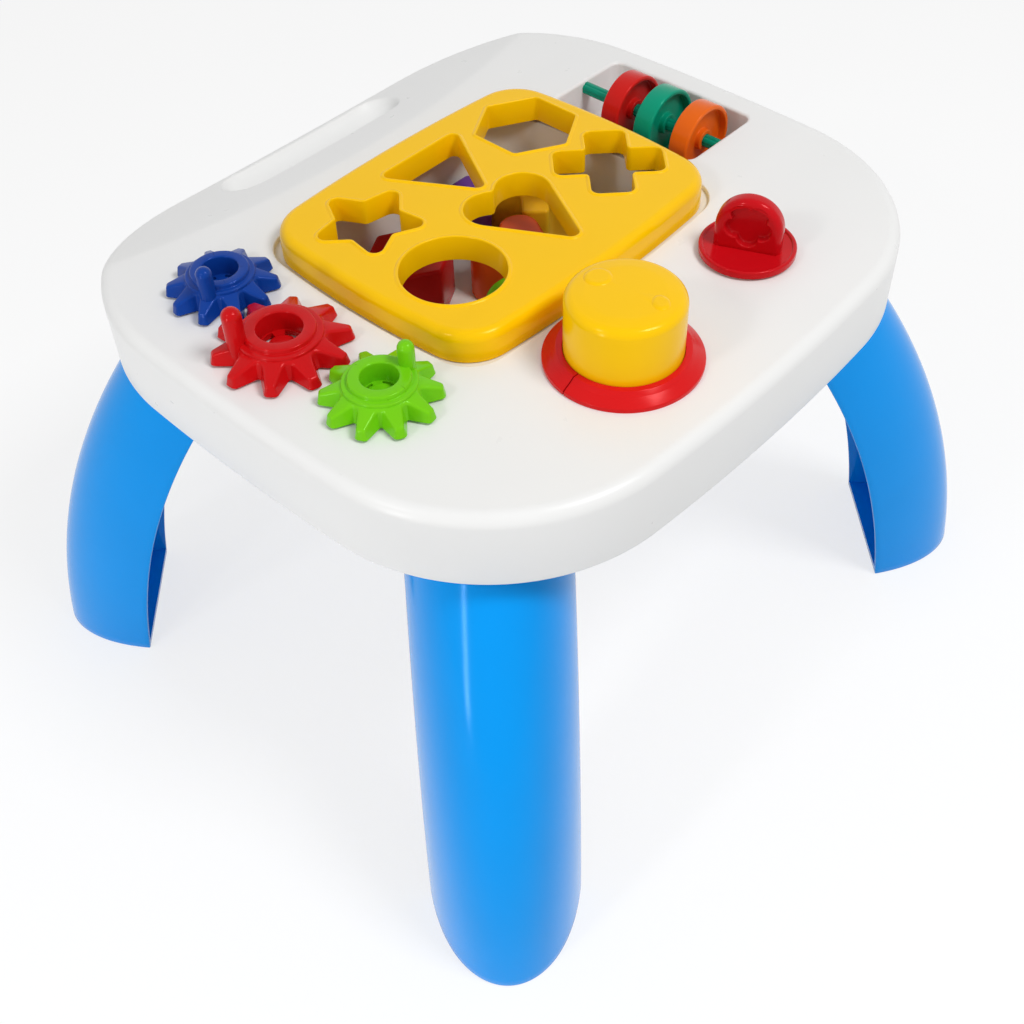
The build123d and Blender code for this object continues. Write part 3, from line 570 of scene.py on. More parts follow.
leg_blue = moulded_plastic("leg blue plastic", (0, 156, 246), rough=0.16, mottle=0.03, ripple=0.06)
flat_back = leg_section(False)
open_back = leg_section(True)
leg_rows = [leg_row(flat_back, level, inset) for level, inset in (
    (0.0, 1.6), (0.0, 1.2), (0.35, 0.35), (1.2, 0.0), (leg_sole, 0.0))]
leg_rows += [leg_row(open_back, level) for level in np.linspace(leg_sole, leg_ceiling, 46)]
leg_rows += [leg_row(flat_back, level) for level in (leg_ceiling, leg_shoulder)]
leg_shell = skin(leg_rows, "both")
plug_outline = box_outline(*plug_size, plug_corner) + (plug_middle, 0.0)
plug_shell = shelf(plug_outline, leg_shoulder - 0.8, leg_shoulder + plug_height)
for node, turn in leg_turns.items():
    leg_shells = [at_leg(leg_shell, turn), at_leg(plug_shell, turn)]
    piece("shell_" + node, leg_shells, leg_blue, "table", node)

# Screws: slotted steel screws, all of one size, from below or from inside.
# They hold the leg plugs, the bin's tabs, the drum's cup and the shafts of the turning pieces.
# One tree of nodes makes a screw and sets it on every place that it is given.
screw_steel = moulded_plastic("screw steel", (150, 152, 155), rough=0.34, mottle=0.1, grain=0.15,
                              grain_size=0.0006, metal=1.0)
screw_sizes = {"Head Radius": 3.2, "Head Height": 2.2, "Shank Radius": 1.6, "Shank Length": 9.0,
               "Slot Width": 0.8, "Slot Depth": 0.9}
upward = (0.0, 0.0, 1.0)


def new_tree(name, kinds):
    """An empty tree of geometry nodes, with the identifiers of its named inputs."""
    tree = bpy.data.node_groups.new(name, "GeometryNodeTree")
    tree.interface.new_socket(name="Geometry", in_out="OUTPUT", socket_type="NodeSocketGeometry")
    identifiers = {}
    for label, kind in kinds.items():
        socket = tree.interface.new_socket(name=label, in_out="INPUT", socket_type="NodeSocket" + kind)
        identifiers[label] = socket.identifier
    return tree, identifiers


def maths(tree, operation, *values):
    """A sum of sockets and constants."""
    return add_node(tree, "ShaderNodeMath", dict(enumerate(values)), operation=operation)


def lifted(tree, shape, level, share):
    """A shape moved up by a share of a level."""
    rise = add_node(tree, "ShaderNodeCombineXYZ", {"Z": maths(tree, "MULTIPLY", level, share)})
    return add_node(tree, "GeometryNodeTransform", {"Geometry": shape, "Translation": rise})


def close_tree(tree, geometry, material):
    """The last nodes of a tree: real geometry with its material."""
    real = add_node(tree, "GeometryNodeRealizeInstances", {"Geometry": geometry})
    coated = add_node(tree, "GeometryNodeSetMaterial", {"Geometry": real, "Material": material})
    add_node(tree, "NodeGroupOutput", {"Geometry": coated})


screw_tree, screw_inputs = new_tree("slotted screws", {
    "Places": "Geometry", "Metal": "Material", **{label: "Float" for label in screw_sizes}})
given = screw_tree.nodes.new("NodeGroupInput").outputs
head = add_node(screw_tree, "GeometryNodeMeshCylinder", {
    "Vertices": 28, "Radius": given["Head Radius"], "Depth": given["Head Height"]})
shank = add_node(screw_tree, "GeometryNodeMeshCylinder", {
    "Vertices": 20, "Radius": given["Shank Radius"], "Depth": given["Shank Length"]})
slot_size = add_node(screw_tree, "ShaderNodeCombineXYZ", {
    "X": maths(screw_tree, "MULTIPLY", given["Head Radius"], 3.0), "Y": given["Slot Width"],
    "Z": maths(screw_tree, "MULTIPLY", given["Slot Depth"], 2.0)})
slot_bar = add_node(screw_tree, "GeometryNodeMeshCube", {"Size": slot_size})
slotted = add_node(screw_tree, "GeometryNodeMeshBoolean", {
    "Mesh 1": lifted(screw_tree, head, given["Head Height"], -0.5),
    "Mesh 2": lifted(screw_tree, slot_bar, given["Head Height"], -1.0)}, operation="DIFFERENCE")
screw = add_node(screw_tree, "GeometryNodeJoinGeometry", {
    "Geometry": [slotted, lifted(screw_tree, shank, given["Shank Length"], 0.5)]})
aim = add_node(screw_tree, "GeometryNodeInputNamedAttribute", {"Name": "aim"}, data_type="FLOAT_VECTOR")
facing = add_node(screw_tree, "FunctionNodeAlignRotationToVector", {"Vector": aim}, axis="Z")
standing = add_node(screw_tree, "GeometryNodeInstanceOnPoints", {
    "Points": given["Places"], "Instance": screw, "Rotation": facing})
close_tree(screw_tree, standing, given["Metal"])


def from_nodes(name, seed_mesh, tree, values, body, node):
    """A plain mesh from a tree of nodes, which takes the place of a solid."""
    source = bpy.data.objects.new(name + "_places", seed_mesh)
    bpy.context.scene.collection.objects.link(source)
    modifier = source.modifiers.new("nodes", "NODES")
    modifier.node_group = tree
    for identifier, value in values.items():
        modifier[identifier] = value
    bpy.context.view_layer.update()
    evaluated = source.evaluated_get(bpy.context.evaluated_depsgraph_get())
    mesh = bpy.data.meshes.new_from_object(evaluated)
    mesh.name = name
    source.modifiers.remove(modifier)
    bpy.data.objects.remove(source)
    return on_body(name, mesh, 30.0, body, node)


def screw_set(name, places, body, node):
    """Screws with the underside of each head at its place and the shank along its aim."""
    seed = bpy.data.meshes.new(name + "_seed")
    seed.from_pydata([tuple(np.array(spot) * MM) for spot, way in places], [], [])
    aims = seed.attributes.new("aim", "FLOAT_VECTOR", "POINT")
    aims.data.foreach_set("vector", np.array([way for spot, way in places], float).ravel())
    values = {screw_inputs[label]: size * MM for label, size in screw_sizes.items()}
    values[screw_inputs["Metal"]] = screw_steel
    return from_nodes(name, seed, screw_tree, values, body, node)


def keep_shaft(name, body, middle):
    """The screw and the white washer under a turning piece, which keep its shaft in the top."""
    screw_set(name, [((*middle, under_level - 10.3), upward)], body, body + "_screw")
    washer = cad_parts[body + "_washer"].data
    washer.materials.clear()
    washer.materials.append(white_plastic)


tab_thickness = 3.0
leg_screw_rise = 12.0
socket_back = plug_middle - plug_size[0] / 2 - plug_gap - socket_wall
leg_screw_places = []
for turn in leg_turns.values():
    spot, faces = at_leg((np.array([(socket_back, 0.0, leg_shoulder + leg_screw_rise)]), []), turn)
    leg_screw_places.append((tuple(spot[0]), (*polar(1.0, turn), 0.0)))
bin_screw_places = [((*place, table_level - tab_drop - tab_thickness), upward) for place, turn in bin_tabs]
cup_screw_places = [((*spot, under_level - 9.0), upward) for spot in cup_screw_spots]
screw_set("steel_leg_screws", leg_screw_places, "table", "leg_screws")
screw_set("steel_bin_screws", bin_screw_places, "table", "bin_screws")
screw_set("steel_cup_screws", cup_screw_places, "table", "cup_screws")

# Sorter bin: a white moulded tray with a rounded floor that hangs under the opening in the top.
# Its flange lies against the underside of the plate and carries the lid's edge.
# Five tabs on its walls are screwed up into bosses of the top.
bin_floor = table_level - 63.0
bin_half = (106.2, 82.3)
bin_corner = 27.5
bin_round = 5.5
bin_wall = 2.5
tab_reach = 20.55
tab_radius = 4.8
bin_flange = ((0.0, -0.4), (0.4, 0.0), (16.4, 0.0), (16.4, -3.0), (3.0, -3.0), (bin_wall, -3.5))
bin_inside = bowed_outline(bin_half, lid_bow, bin_corner, 4.0) + lid_middle
bin_profile = [(-bin_round - 0.5, bin_floor)]
bin_profile += bend(-bin_round, bin_floor + bin_round, bin_round, -QUARTER, 0.0)
bin_profile += [(off, under_level + rise) for off, rise in bin_flange]
bin_profile += bend(-bin_round, bin_floor + bin_round, bin_round + bin_wall, 0.0, -QUARTER)
bin_profile.append((-bin_round - 0.5, bin_floor - bin_wall))
bin_shells = [sweep(bin_inside, bin_profile, lids="both")]
tab_under = table_level - tab_drop - tab_thickness
tab = shelf(stadium(-tab_reach, 0.0, tab_radius, 1.2), tab_under, tab_under + tab_thickness, 0.5)
for place, turn in bin_tabs:
    bin_shells.append(moved(tab, (*place, 0.0), math.radians(turn)))
bin_plastic = moulded_plastic("bin white plastic", (232, 229, 222), rough=0.42, mottle=0.02, grain=0.06,
                              ripple=0.03)
piece("sorter_tray", bin_shells, bin_plastic, "table", "sorter_bin")

# Sorter blocks: six loose hollow-moulded shapes that lie on the bin's floor.
# Each follows its hole with room to drop through, and has softened corners and edges.
# They are bright gloss plastic in six colours.
block_room = 4.0
block_corner = 3.4
block_round = 2.0
block_low = bin_floor + 0.3
block_high = block_low + 36.0
hole_radius = 31.0
star_reach = 38.0
star_waist = 0.52 * star_reach
star_corners = [polar(star_waist if index % 2 else star_reach, 90 + 36 * index) for index in range(10)]
triangle_corners = [polar(39.5, turn) for turn in (-90, 30, 150)]
hexagon_corners = [polar(33.5, turn) for turn in range(30, 390, 60)]
arm_corners = ((34.0, -13.0), (34.0, 13.0), (13.0, 13.0))
cross_corners = np.vstack([turned(arm_corners, math.radians(45 + 90 * arm)) for arm in range(4)])


def drawn_in(corners):
    """A polygon with every side moved in by the room that a block has in its hole."""
    corners = np.array(corners)
    ahead = np.roll(corners, -1, axis=0) - corners
    ahead = ahead / np.linalg.norm(ahead, axis=1)[:, None]
    before = np.roll(ahead, 1, axis=0)
    inward_here = np.column_stack((-ahead[:, 1], ahead[:, 0]))
    inward_before = np.column_stack((-before[:, 1], before[:, 0]))
    half = (inward_here + inward_before) / (1 + np.sum(inward_here * inward_before, axis=1))[:, None]
    return corners + half * block_room


def heart_outline(lobe, spread, tip, drop, notch):
    """Two round lobes over a rounded point, with a rounded notch between the lobes."""
    notch_rise = math.sqrt((lobe + notch) ** 2 - spread**2)
    meet = math.atan2(notch_rise, -spread)
    side = math.atan2(-drop, -spread) + math.acos((lobe - tip) / math.hypot(spread, drop))
    right = arc((spread, 0.0), lobe, side, meet, 2.0)
    bottom = arc((0.0, notch_rise), notch, meet - math.pi, -meet, 1.0)
    left = right[::-1] * (-1, 1)
    point = arc((0.0, -drop), tip, -math.pi - side, side, 1.0)
    return np.vstack((right, bottom[1:-1], left, point[1:-1]))


block_outlines = {
    "circle": circle((0.0, 0.0), hole_radius - block_room, 80),
    "star": rounded(drawn_in(star_corners), [block_corner, 6.0] * 5),
    "triangle": rounded(drawn_in(triangle_corners), block_corner),
    "hexagon": rounded(drawn_in(hexagon_corners), block_corner),
    "heart": heart_outline(13.0, 13.5, 3.2, 45.4, 6.0),
    "cross": rounded(drawn_in(cross_corners), [block_corner, block_corner, 5.0] * 4),
}
block_looks = {
    "circle": ((-17.0, -36.0), "lime", (112, 196, 22)),
    "star": ((71.0, -22.0), "sky_blue", (58, 142, 214)),
    "triangle": ((30.0, 69.0), "purple", (112, 70, 160)),
    "hexagon": ((-33.0, 52.0), "red", (196, 26, 28)),
    "heart": ((20.0, 19.0), "orange", (236, 92, 26)),
    "cross": ((73.0, 42.0), "yellow", (240, 184, 30)),
}
block_profile = [(-1.4, block_low), (-1.0, block_low), (-0.3, block_low + 0.3), (0.0, block_low + 1.0)]
block_profile += bend(-block_round, block_high - block_round, block_round, 0.0, QUARTER, 6)
block_profile.append((-block_round - 0.4, block_high))
for name, outline in block_outlines.items():
    place, slot, colour = block_looks[name]
    shell = moved(sweep(divided(outline, 4.0), block_profile, lids="both"), (*place, 0.0))
    finish = moulded_plastic(name + " block plastic", colour, rough=0.24, mottle=0.04)
    piece("toy_block_" + name, [shell], finish, "block_" + name, "block_" + name)

# Sorter lid: a yellow moulded cover with rounded edges that drops into the opening and lifts off.
# Six shaped holes have a thin raised bead round the top and a straight collar below.
# It rests on the bin's flange with a narrow gap all round.
lid_outline = bowed_outline((114.2, 90.3), lid_bow, 30.0) + lid_middle
lid_top = table_level + 16.7
lid_seat = under_level + 0.3
lid_round = 6.0
lid_wall = 2.8
ceiling_inset = 6.4
hole_pitch = 2.5
hole_places = {"circle": (-67.3, -23.6), "star": (-66.0, 47.0), "triangle": (3.2, 56.0),
               "hexagon": (71.5, 46.5), "heart": (3.5, 0.0), "cross": (73.8, -20.2)}
hole_outlines = {
    "circle": circle((0.0, 0.0), hole_radius, 96),
    "star": divided(rounded(star_corners, [5.0, 4.0] * 5), hole_pitch),
    "triangle": divided(rounded(triangle_corners, 4.0), hole_pitch),
    "hexagon": divided(rounded(hexagon_corners, 3.0), hole_pitch),
    "heart": divided(heart_outline(17.0, 13.5, 5.0, 50.0, 4.0), hole_pitch),
    "cross": divided(rounded(cross_corners, [5.0, 5.0, 3.0] * 4), hole_pitch),
}
lid_profile = bend(-lid_round, lid_top - lid_round, lid_round, QUARTER, 0.0, 10)
lid_profile += [(0.0, lid_seat + 0.5), (-0.5, lid_seat), (0.5 - lid_wall, lid_seat),
                (-lid_wall, lid_seat + 0.5), (-lid_wall, lid_top - 6.0), (-4.0, lid_top - 3.4),
                (-ceiling_inset, lid_top - lid_wall)]
bead = [(2.6, 0.0), (2.35, 0.18), (1.95, 0.52), (1.45, 0.8), (0.95, 0.9), (0.5, 0.8), (0.18, 0.52),
        (0.0, 0.1)]
collar = [(0.0, -15.6), (0.4, -16.0), (1.8, -16.0), (2.2, -15.6), (2.2, -lid_wall)]
lid_grid = grid(110.0, -80.0, 96.0, 9.0)
placed_holes = [outline + hole_places[name] for name, outline in hole_outlines.items()]
lid_shells = [sweep(lid_outline, lid_profile)]
lid_shells += [sweep(outline, bead + collar, lid_top) for outline in placed_holes]
lid_faces = ((lid_round, bead[0][0], lid_top), (ceiling_inset, collar[-1][0], lid_top - lid_wall))
for inset, off, level in lid_faces:
    mouths = [offset(outline, off) for outline in placed_holes]
    lid_shells.append(sheet(offset(lid_outline, -inset), mouths, lid_grid, level, 0.3))
lid_yellow = moulded_plastic("lid yellow plastic", (255, 200, 4), rough=0.18, mottle=0.03)
piece("shape_lid", lid_shells, lid_yellow, "lid", "sorter_lid")

# Toy gears: three wheels of ten sloping ridge teeth with stepped rings, a deep open middle and a finger peg.
# Each is one gloss moulding with a shaft through the top, kept by a washer and a screw from below.
# All have ten teeth, so they turn one to one.
turn_floor = table_level + 1.4
teeth = 10
red_phase = math.radians(3.5)
tooth_height = 6.0
tooth_rise = 5.0
shoulder_level = 12.8
ring_level = 15.6
web_level = 3.2
shaft_end = -12.7
no_spots = np.zeros((0, 2))
gear_forms = {
    "red": {"tip": 40.0, "root": 27.5, "tip_half": 3.6, "root_half": 7.4, "tip_round": 3.0, "shoulder": 24.0,
            "ring": 20.0, "bore": 13.0, "peg": (24.0, 152.0, 5.6, 36.5), "colour": (200, 16, 20),
            "slot": "red"},
    "blue": {"tip": 33.0, "root": 22.5, "tip_half": 3.0, "root_half": 6.2, "tip_round": 2.6, "shoulder": 20.0,
             "ring": 16.8, "bore": 10.9, "peg": (19.0, -150.0, 4.8, 31.0), "colour": (14, 62, 150),
             "slot": "deep_blue"},
    "green": {"tip": 34.0, "root": 23.5, "tip_half": 3.2, "root_half": 6.4, "tip_round": 2.8,
              "shoulder": 20.5, "ring": 17.0, "bore": 10.5, "peg": (17.6, -10.0, 4.7, 31.0),
              "colour": (118, 204, 20), "slot": "lime"},
}


def gear_phase(name):
    """The first tooth's angle, so that the teeth of a gear stand in the red one's gaps."""
    if name == "red":
        return red_phase
    apart = gear_middles[name] - gear_middles["red"]
    line = math.atan2(apart[1], apart[0])
    return line + math.pi - (red_phase - line) + math.pi / teeth


def gear_loop(form, phase):
    """The wheel's outline at its foot: rounded teeth that narrow outward."""
    root, root_half, tip, tip_half = (form[key] for key in ("root", "root_half", "tip", "tip_half"))
    pitch = 360.0 / teeth
    start = math.radians(-pitch / 2)
    flank = (start - math.atan2(root_half, root)) / 2
    below = [(root * math.cos(turn), root * math.sin(turn)) for turn in (start, flank)]
    below += [(root, -root_half), (tip, -tip_half)]
    corners = below + [(x, -y) for x, y in below[::-1]]
    tip_round = form["tip_round"]
    tooth = rounded(corners, [0, 0, 1.6, tip_round, tip_round, 1.6, 0, 0], closed=False, steps=7)[:-1]
    wheel = [turned(tooth, phase + math.radians(pitch * index)) for index in range(teeth)]
    return divided(np.vstack(wheel), 2.2)


def gear_shells(form, phase):
    """The toothed wheel with its rings, bored web, hub, shaft and peg, standing on zero."""
    tip, shoulder, ring, bore = (form[key] for key in ("tip", "shoulder", "ring", "bore"))
    foot = gear_loop(form, phase)
    edge = 0.52 * form["tip_half"]
    slope = tooth_rise / (tip - shoulder)
    crest = tooth_height + (tip - np.hypot(foot[:, 0], foot[:, 1])) * slope
    draft = 0.3 * form["tip_half"] / (tooth_height - edge)
    rows = [row(foot, -0.3, 0.0), row(foot, 0.0, 0.3)]
    for turn in np.linspace(0.0, QUARTER, 7):
        flat = offset(foot, -(crest - edge) * draft - edge * (1 - math.cos(turn)))
        spread = np.hypot(flat[:, 0], flat[:, 1])
        flat = flat * (np.maximum(spread, shoulder + 0.25) / spread)[:, None]
        spread = np.hypot(flat[:, 0], flat[:, 1])
        height = tooth_height + (tip - spread) * slope - edge * (1 - math.sin(turn))
        rows.append(np.column_stack((flat, height)))
    way = rows[-1][:, :2] / np.hypot(rows[-1][:, 0], rows[-1][:, 1])[:, None]
    steps = rounded([(shoulder + 0.1, tooth_height + tooth_rise), (shoulder, shoulder_level),
                     (ring + 0.3, shoulder_level), (ring, ring_level), (bore, ring_level),
                     (bore, tooth_height)], [0, 0.8, 0.5, 1.0, 1.0, 0], closed=False, steps=4)
    for radius, level in [*steps, (bore, web_level)]:
        rows.append(np.column_stack((way * radius, np.full(len(way), level))))
    shells = [skin(rows)]
    slot_in, slot_out, half = 8.0, bore - 0.8, math.radians(42.0)
    slots = []
    for turn in (0.0, 2 * math.pi / 3, 4 * math.pi / 3):
        outer = arc((0.0, 0.0), slot_out, turn - half, turn + half, 1.4)
        inner = arc((0.0, 0.0), slot_in, turn + half, turn - half, 1.4)
        slots.append(np.vstack((outer, inner)))
        shells.append(sweep(slots[-1], [(0.0, web_level), (0.0, 0.0)]))
    hub = circle((0.0, 0.0), 6.4, 48)
    shaft = circle((0.0, 0.0), 4.6, 48)
    shells.append(sheet(rows[-1][:, :2], slots + [hub], no_spots, web_level, 0.15))
    shells.append(sheet(rows[0][:, :2], slots + [shaft], no_spots, 0.0, 0.15))
    hub_end = [(0.0, 0.0), (0.0, 1.0), (-0.2, 1.4), (-0.6, 1.6), (-1.0, 1.6)]
    shells.append(sweep(hub, hub_end, web_level, "last"))
    shells.append(sweep(shaft, [(0.0, 0.0), (0.0, shaft_end + 0.5), (-0.5, shaft_end), (-0.9, shaft_end)],
                        lids="last"))
    peg_reach, peg_turn, peg_radius, peg_top = form["peg"]
    peg_end = peg_top - 1.4 - peg_radius
    peg = [(-1.0, 5.0), (0.0, 5.0), (0.0, 15.0), (0.0, peg_end)]
    peg += bend(-peg_radius, peg_end, peg_radius, 0.0, 1.5, 12)
    shells.append(sweep(circle(polar(peg_reach, peg_turn), peg_radius, 48), peg, lids="both"))
    return shells


for name, form in gear_forms.items():
    finish = moulded_plastic(name + " gear plastic", form["colour"], rough=0.16, mottle=0.04, ripple=0.06)
    place = (*gear_middles[name], turn_floor)
    shells = [moved(shell, place) for shell in gear_shells(form, gear_phase(name))]
    body = "gear_" + name
    piece("toy_gear_" + name, shells, finish, body, body)
    keep_shaft("steel_gear_screw_" + name, body, gear_middles[name])

# Rollers: three wheels with a thick rim, a sunken web and a hub, loose on a teal rod across the pocket.
# The rod is a moulded bar with lengthwise flutes, pressed into blocks at both ends of the pocket.
# Rim edges are rounded, and the plastic is glossy.
rod_level = table_level - 6.0
rod_half = 63.0
rod_radius = 4.2
flute_depth = 0.45
flutes = 6
rod_teal = moulded_plastic("rod teal plastic", (6, 140, 112), mottle=0.04)
angles = np.arange(120) * 2 * math.pi / 120
rod_reach = rod_radius - flute_depth * np.maximum(np.cos(flutes * angles), 0.0) ** 2
rod_loop = np.column_stack((rod_reach * np.cos(angles), rod_reach * np.sin(angles)))
roller_half = [(4.26, 6.0), (7.0, 6.0), (7.0, 2.0), (20.5, 2.0), (20.5, 7.0), (23.5, 7.0)]
roller_rounds = [0.3, 0.6, 0.8, 0.8, 0.7, 1.2]
roller_looks = {"roller_red": (33.0, (206, 30, 26), "red"), "roller_teal": (5.5, (8, 150, 118), "teal"),
                "roller_orange": (-24.5, (232, 104, 22), "orange")}


def laid_along_y(shell, place):
    """A shell built up along Z, turned so that it lies along Y over the pocket's middle."""
    points, faces = shell
    return points[:, [0, 2, 1]] + (pocket_middle[0], place, rod_level), faces


def lathe(profile, count, middle=(0.0, 0.0), base=0.0, lids="both"):
    """A piece turned about an upright axis from (radius, level over the base) steps."""
    return sweep(circle(middle, 1.0, count), [(radius - 1.0, level) for radius, level in profile], base, lids)


rod_end = [(-1.2, -rod_half), (-0.7, -rod_half), (0.0, 0.7 - rod_half), (0.0, -20.0)]
rod_shell = sweep(rod_loop, rod_end + [(off, -level) for off, level in rod_end[::-1]], lids="both")
piece("fluted_rod", [laid_along_y(rod_shell, pocket_middle[1])], rod_teal, "table", "roller_rod")
roller_corners = [(radius, -level) for radius, level in roller_half] + roller_half[::-1]
roller_profile = rounded(roller_corners, roller_rounds + roller_rounds[::-1], steps=4)
roller_shell = lathe([*roller_profile, roller_profile[0]], 96, lids="none")
for body, (place, colour, slot) in roller_looks.items():
    finish = moulded_plastic(body.replace("_", " ") + " plastic", colour, mottle=0.04)
    piece("wheel_" + body, [laid_along_y(roller_shell, place)], finish, body, body)

# Drum: a yellow cap that is pressed down through a red ring, over a grey rubber bellows in a white cup.
# The cap is a thin moulding with a slightly crowned top, a soft rim and low relief on it.
# The ring is snapped into the top with a slit at one side, and three screws hold the cup from below.
drum_yellow = moulded_plastic("drum yellow plastic", (254, 200, 6), rough=0.18, mottle=0.03)
ring_red = moulded_plastic("drum ring red plastic", (214, 24, 26))
cap_profile = rounded([(0.5, 45.0), (22.0, 44.7), (33.0, 43.6), (33.0, -8.3), (36.4, -8.3), (36.4, -10.8),
                       (30.5, -10.8), (30.5, 40.8), (0.5, 42.4)],
                      [0, 20.0, 5.5, 0, 0.6, 0.6, 0.3, 3.0, 0], closed=False, steps=8)
head_level = table_level + 44.75
pad_sink = 0.4
stick_radius = 2.6
stick_half = 15.5
stick_ends = (drum_middle + (0.0, 19.0), drum_middle + (4.6, -19.0))


def low_relief(loop, level, rise):
    """A pad that stands a little proud of the drum's head, with soft edges."""
    crown = ((0.0, 0.35), (-0.6, 0.66), (-1.3, 0.86), (-2.1, 1.0), (-2.4, 1.0))
    profile = [(0.5, -0.6), (0.4, -0.1)] + [(off, rise * share) for off, share in crown]
    return sweep(loop, profile, level, "both")


def oval(length, width, middle, degrees):
    """An ellipse turned by an angle."""
    loop = circle((0.0, 0.0), 1.0, 64) * (length / 2, width / 2)
    return turned(loop, math.radians(degrees)) + middle


stick = circle((0.0, 0.0), stick_radius, 48)
stick[:, 0] += np.copysign(stick_half, stick[:, 0])
stick_turn = math.atan2(*(stick_ends[1] - stick_ends[0])[::-1])
stick_middle = (stick_ends[0] + stick_ends[1]) / 2
cap_shells = [lathe(cap_profile, 128, drum_middle, table_level),
              moved(low_relief(stick, head_level, 0.2), (*stick_middle, 0.0), stick_turn),
              low_relief(oval(15.5, 15.0, stick_ends[0], 0.0), head_level - pad_sink, 1.3),
              low_relief(oval(12.5, 9.5, stick_ends[1], 45.0), head_level - pad_sink, 1.2)]
piece("drum_head", cap_shells, drum_yellow, "drum", "drum_cap")
ring_profile = rounded([(33.3, -8.0), (36.5, -8.0), (36.5, 0.0), (44.6, 0.0), (44.6, 2.6), (39.4, 6.4),
                        (36.9, 8.6), (33.3, 8.6)], [0.3, 0.6, 0, 0.3, 0.8, 0.7, 0.8, 0.4], steps=4)
slit_turn = math.radians(174.0)
slit_half = 0.45 / 40.0
ring_rows = []
for turn in np.linspace(slit_turn + slit_half, slit_turn + 2 * math.pi - slit_half, 161):
    ring_rows.append(np.column_stack((drum_middle[0] + ring_profile[:, 0] * math.cos(turn),
                                      drum_middle[1] + ring_profile[:, 0] * math.sin(turn),
                                      table_level + ring_profile[:, 1])))
piece("drum_collar_ring", [skin(ring_rows, "both")], ring_red, "table", "drum_ring")
cup_profile = rounded([(0.5, -32.0), (36.8, -32.0), (36.8, -9.0), (49.0, -9.0), (49.0, -12.0),
                       (39.0, -12.0), (39.0, -34.2), (0.5, -34.2)],
                      [0, 2.0, 0.3, 0.8, 0.8, 0.8, 3.0, 0], closed=False, steps=4)
cup_shell = lathe(cup_profile, 96, drum_middle, table_level)
piece("drum_holder", [cup_shell], white_plastic, "table", "drum_cup")

# Bellows: a grey rubber tube of even folds that stands between the cup's floor and the cap.
# It is blown in one piece, pushes the drum up again and makes its sound.
bellows_low = table_level - 31.7
bellows_high = table_level + 42.2
bellows_height = bellows_high - bellows_low
bellows_radius = 22.4
bellows_folds = 7.0
bellows_rubber = moulded_plastic("bellows rubber", (96, 98, 100), rough=0.62, mottle=0.08, grain=0.2)
fold_tree, fold_inputs = new_tree("bellows folds", {
    "Geometry": "Geometry", "Middle": "Vector", "Height": "Float", "Mean Radius": "Float",
    "Fold Share": "Float", "Folds": "Float", "Rubber": "Material"})
given = fold_tree.nodes.new("NodeGroupInput").outputs
barrel = add_node(fold_tree, "GeometryNodeMeshCylinder", {
    "Vertices": 64, "Side Segments": 112, "Radius": given["Mean Radius"], "Depth": given["Height"]})
spot = add_node(fold_tree, "GeometryNodeInputPosition", {})
rise = add_node(fold_tree, "ShaderNodeSeparateXYZ", {"Vector": spot}).node.outputs["Z"]
fold = maths(fold_tree, "MULTIPLY", maths(fold_tree, "DIVIDE", rise, given["Height"]), given["Folds"])
wave = maths(fold_tree, "COSINE", maths(fold_tree, "MULTIPLY", fold, 2 * math.pi))
swell = maths(fold_tree, "MULTIPLY_ADD", wave, given["Fold Share"], 1.0)
scale = add_node(fold_tree, "ShaderNodeCombineXYZ", {"X": swell, "Y": swell, "Z": 1.0})
spread = add_node(fold_tree, "ShaderNodeVectorMath", {0: spot, 1: scale}, operation="MULTIPLY")
carried = add_node(fold_tree, "ShaderNodeVectorMath", {0: spread, 1: given["Middle"]}, operation="ADD")
folded = add_node(fold_tree, "GeometryNodeSetPosition", {"Geometry": barrel, "Position": carried})
close_tree(fold_tree, folded, given["Rubber"])
bellows_middle = (drum_middle[0] * MM, drum_middle[1] * MM, (bellows_low + bellows_high) / 2 * MM)
bellows = from_nodes("folded_bellows", bpy.data.meshes.new("bellows_seed"), fold_tree,
                     {fold_inputs["Middle"]: bellows_middle, fold_inputs["Height"]: bellows_height * MM,
                      fold_inputs["Mean Radius"]: bellows_radius * MM, fold_inputs["Fold Share"]: -0.108,
                      fold_inputs["Folds"]: bellows_folds, fold_inputs["Rubber"]: bellows_rubber},
                     "table", "drum_bellows")
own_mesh(bellows)

# Turning knob: a red disc with a thick rounded rim and an arched grip that is sunk on both faces.
# It is one gloss moulding on a shaft through the top, kept by a washer and a screw from below.
# The sunken panels of the grip have scalloped edges.
knob_turn = math.radians(-67.0)
knob_red = moulded_plastic("knob red plastic", (200, 14, 24), rough=0.16, mottle=0.04)
disc_profile = rounded([(0.5, 3.4), (25.9, 3.4), (26.4, 4.6), (28.7, 4.6), (28.7, 0.0), (5.0, 0.0),
                        (5.0, -12.7), (0.5, -12.7)],
                       [0, 0.5, 0.8, 1.1, 0.5, 0, 0.5, 0], closed=False, steps=5)
grip_half = 20.0
grip_face = 6.0
grip_round = 4.2
arch_level = 16.6
petal_out = 7.6
petal_radius = 6.2
petal_angle = 2 * math.pi / 5
recess_level = 20.0
recess_edge = [(0.8, 0.0), (0.3, -0.25), (0.0, -0.8), (-0.2, -3.6), (-0.6, -4.2), (-1.2, -4.4),
               (-1.6, -4.4)]
arch_top = arc((0.0, arch_level), grip_half, 0.0, math.pi, 1.6)
arch = divided(np.vstack(([(grip_half, 1.0)], arch_top, [(-grip_half, 1.0)])), 1.8)
petals = np.linspace(0.0, 2 * math.pi, 121)[:-1]
aside = (petals - math.radians(126.0) + petal_angle / 2) % petal_angle - petal_angle / 2
petal_reach = petal_out * np.cos(aside) + np.sqrt(petal_radius**2 - (petal_out * np.sin(aside)) ** 2)
recess_loop = np.column_stack((petal_reach * np.cos(petals), recess_level + petal_reach * np.sin(petals)))


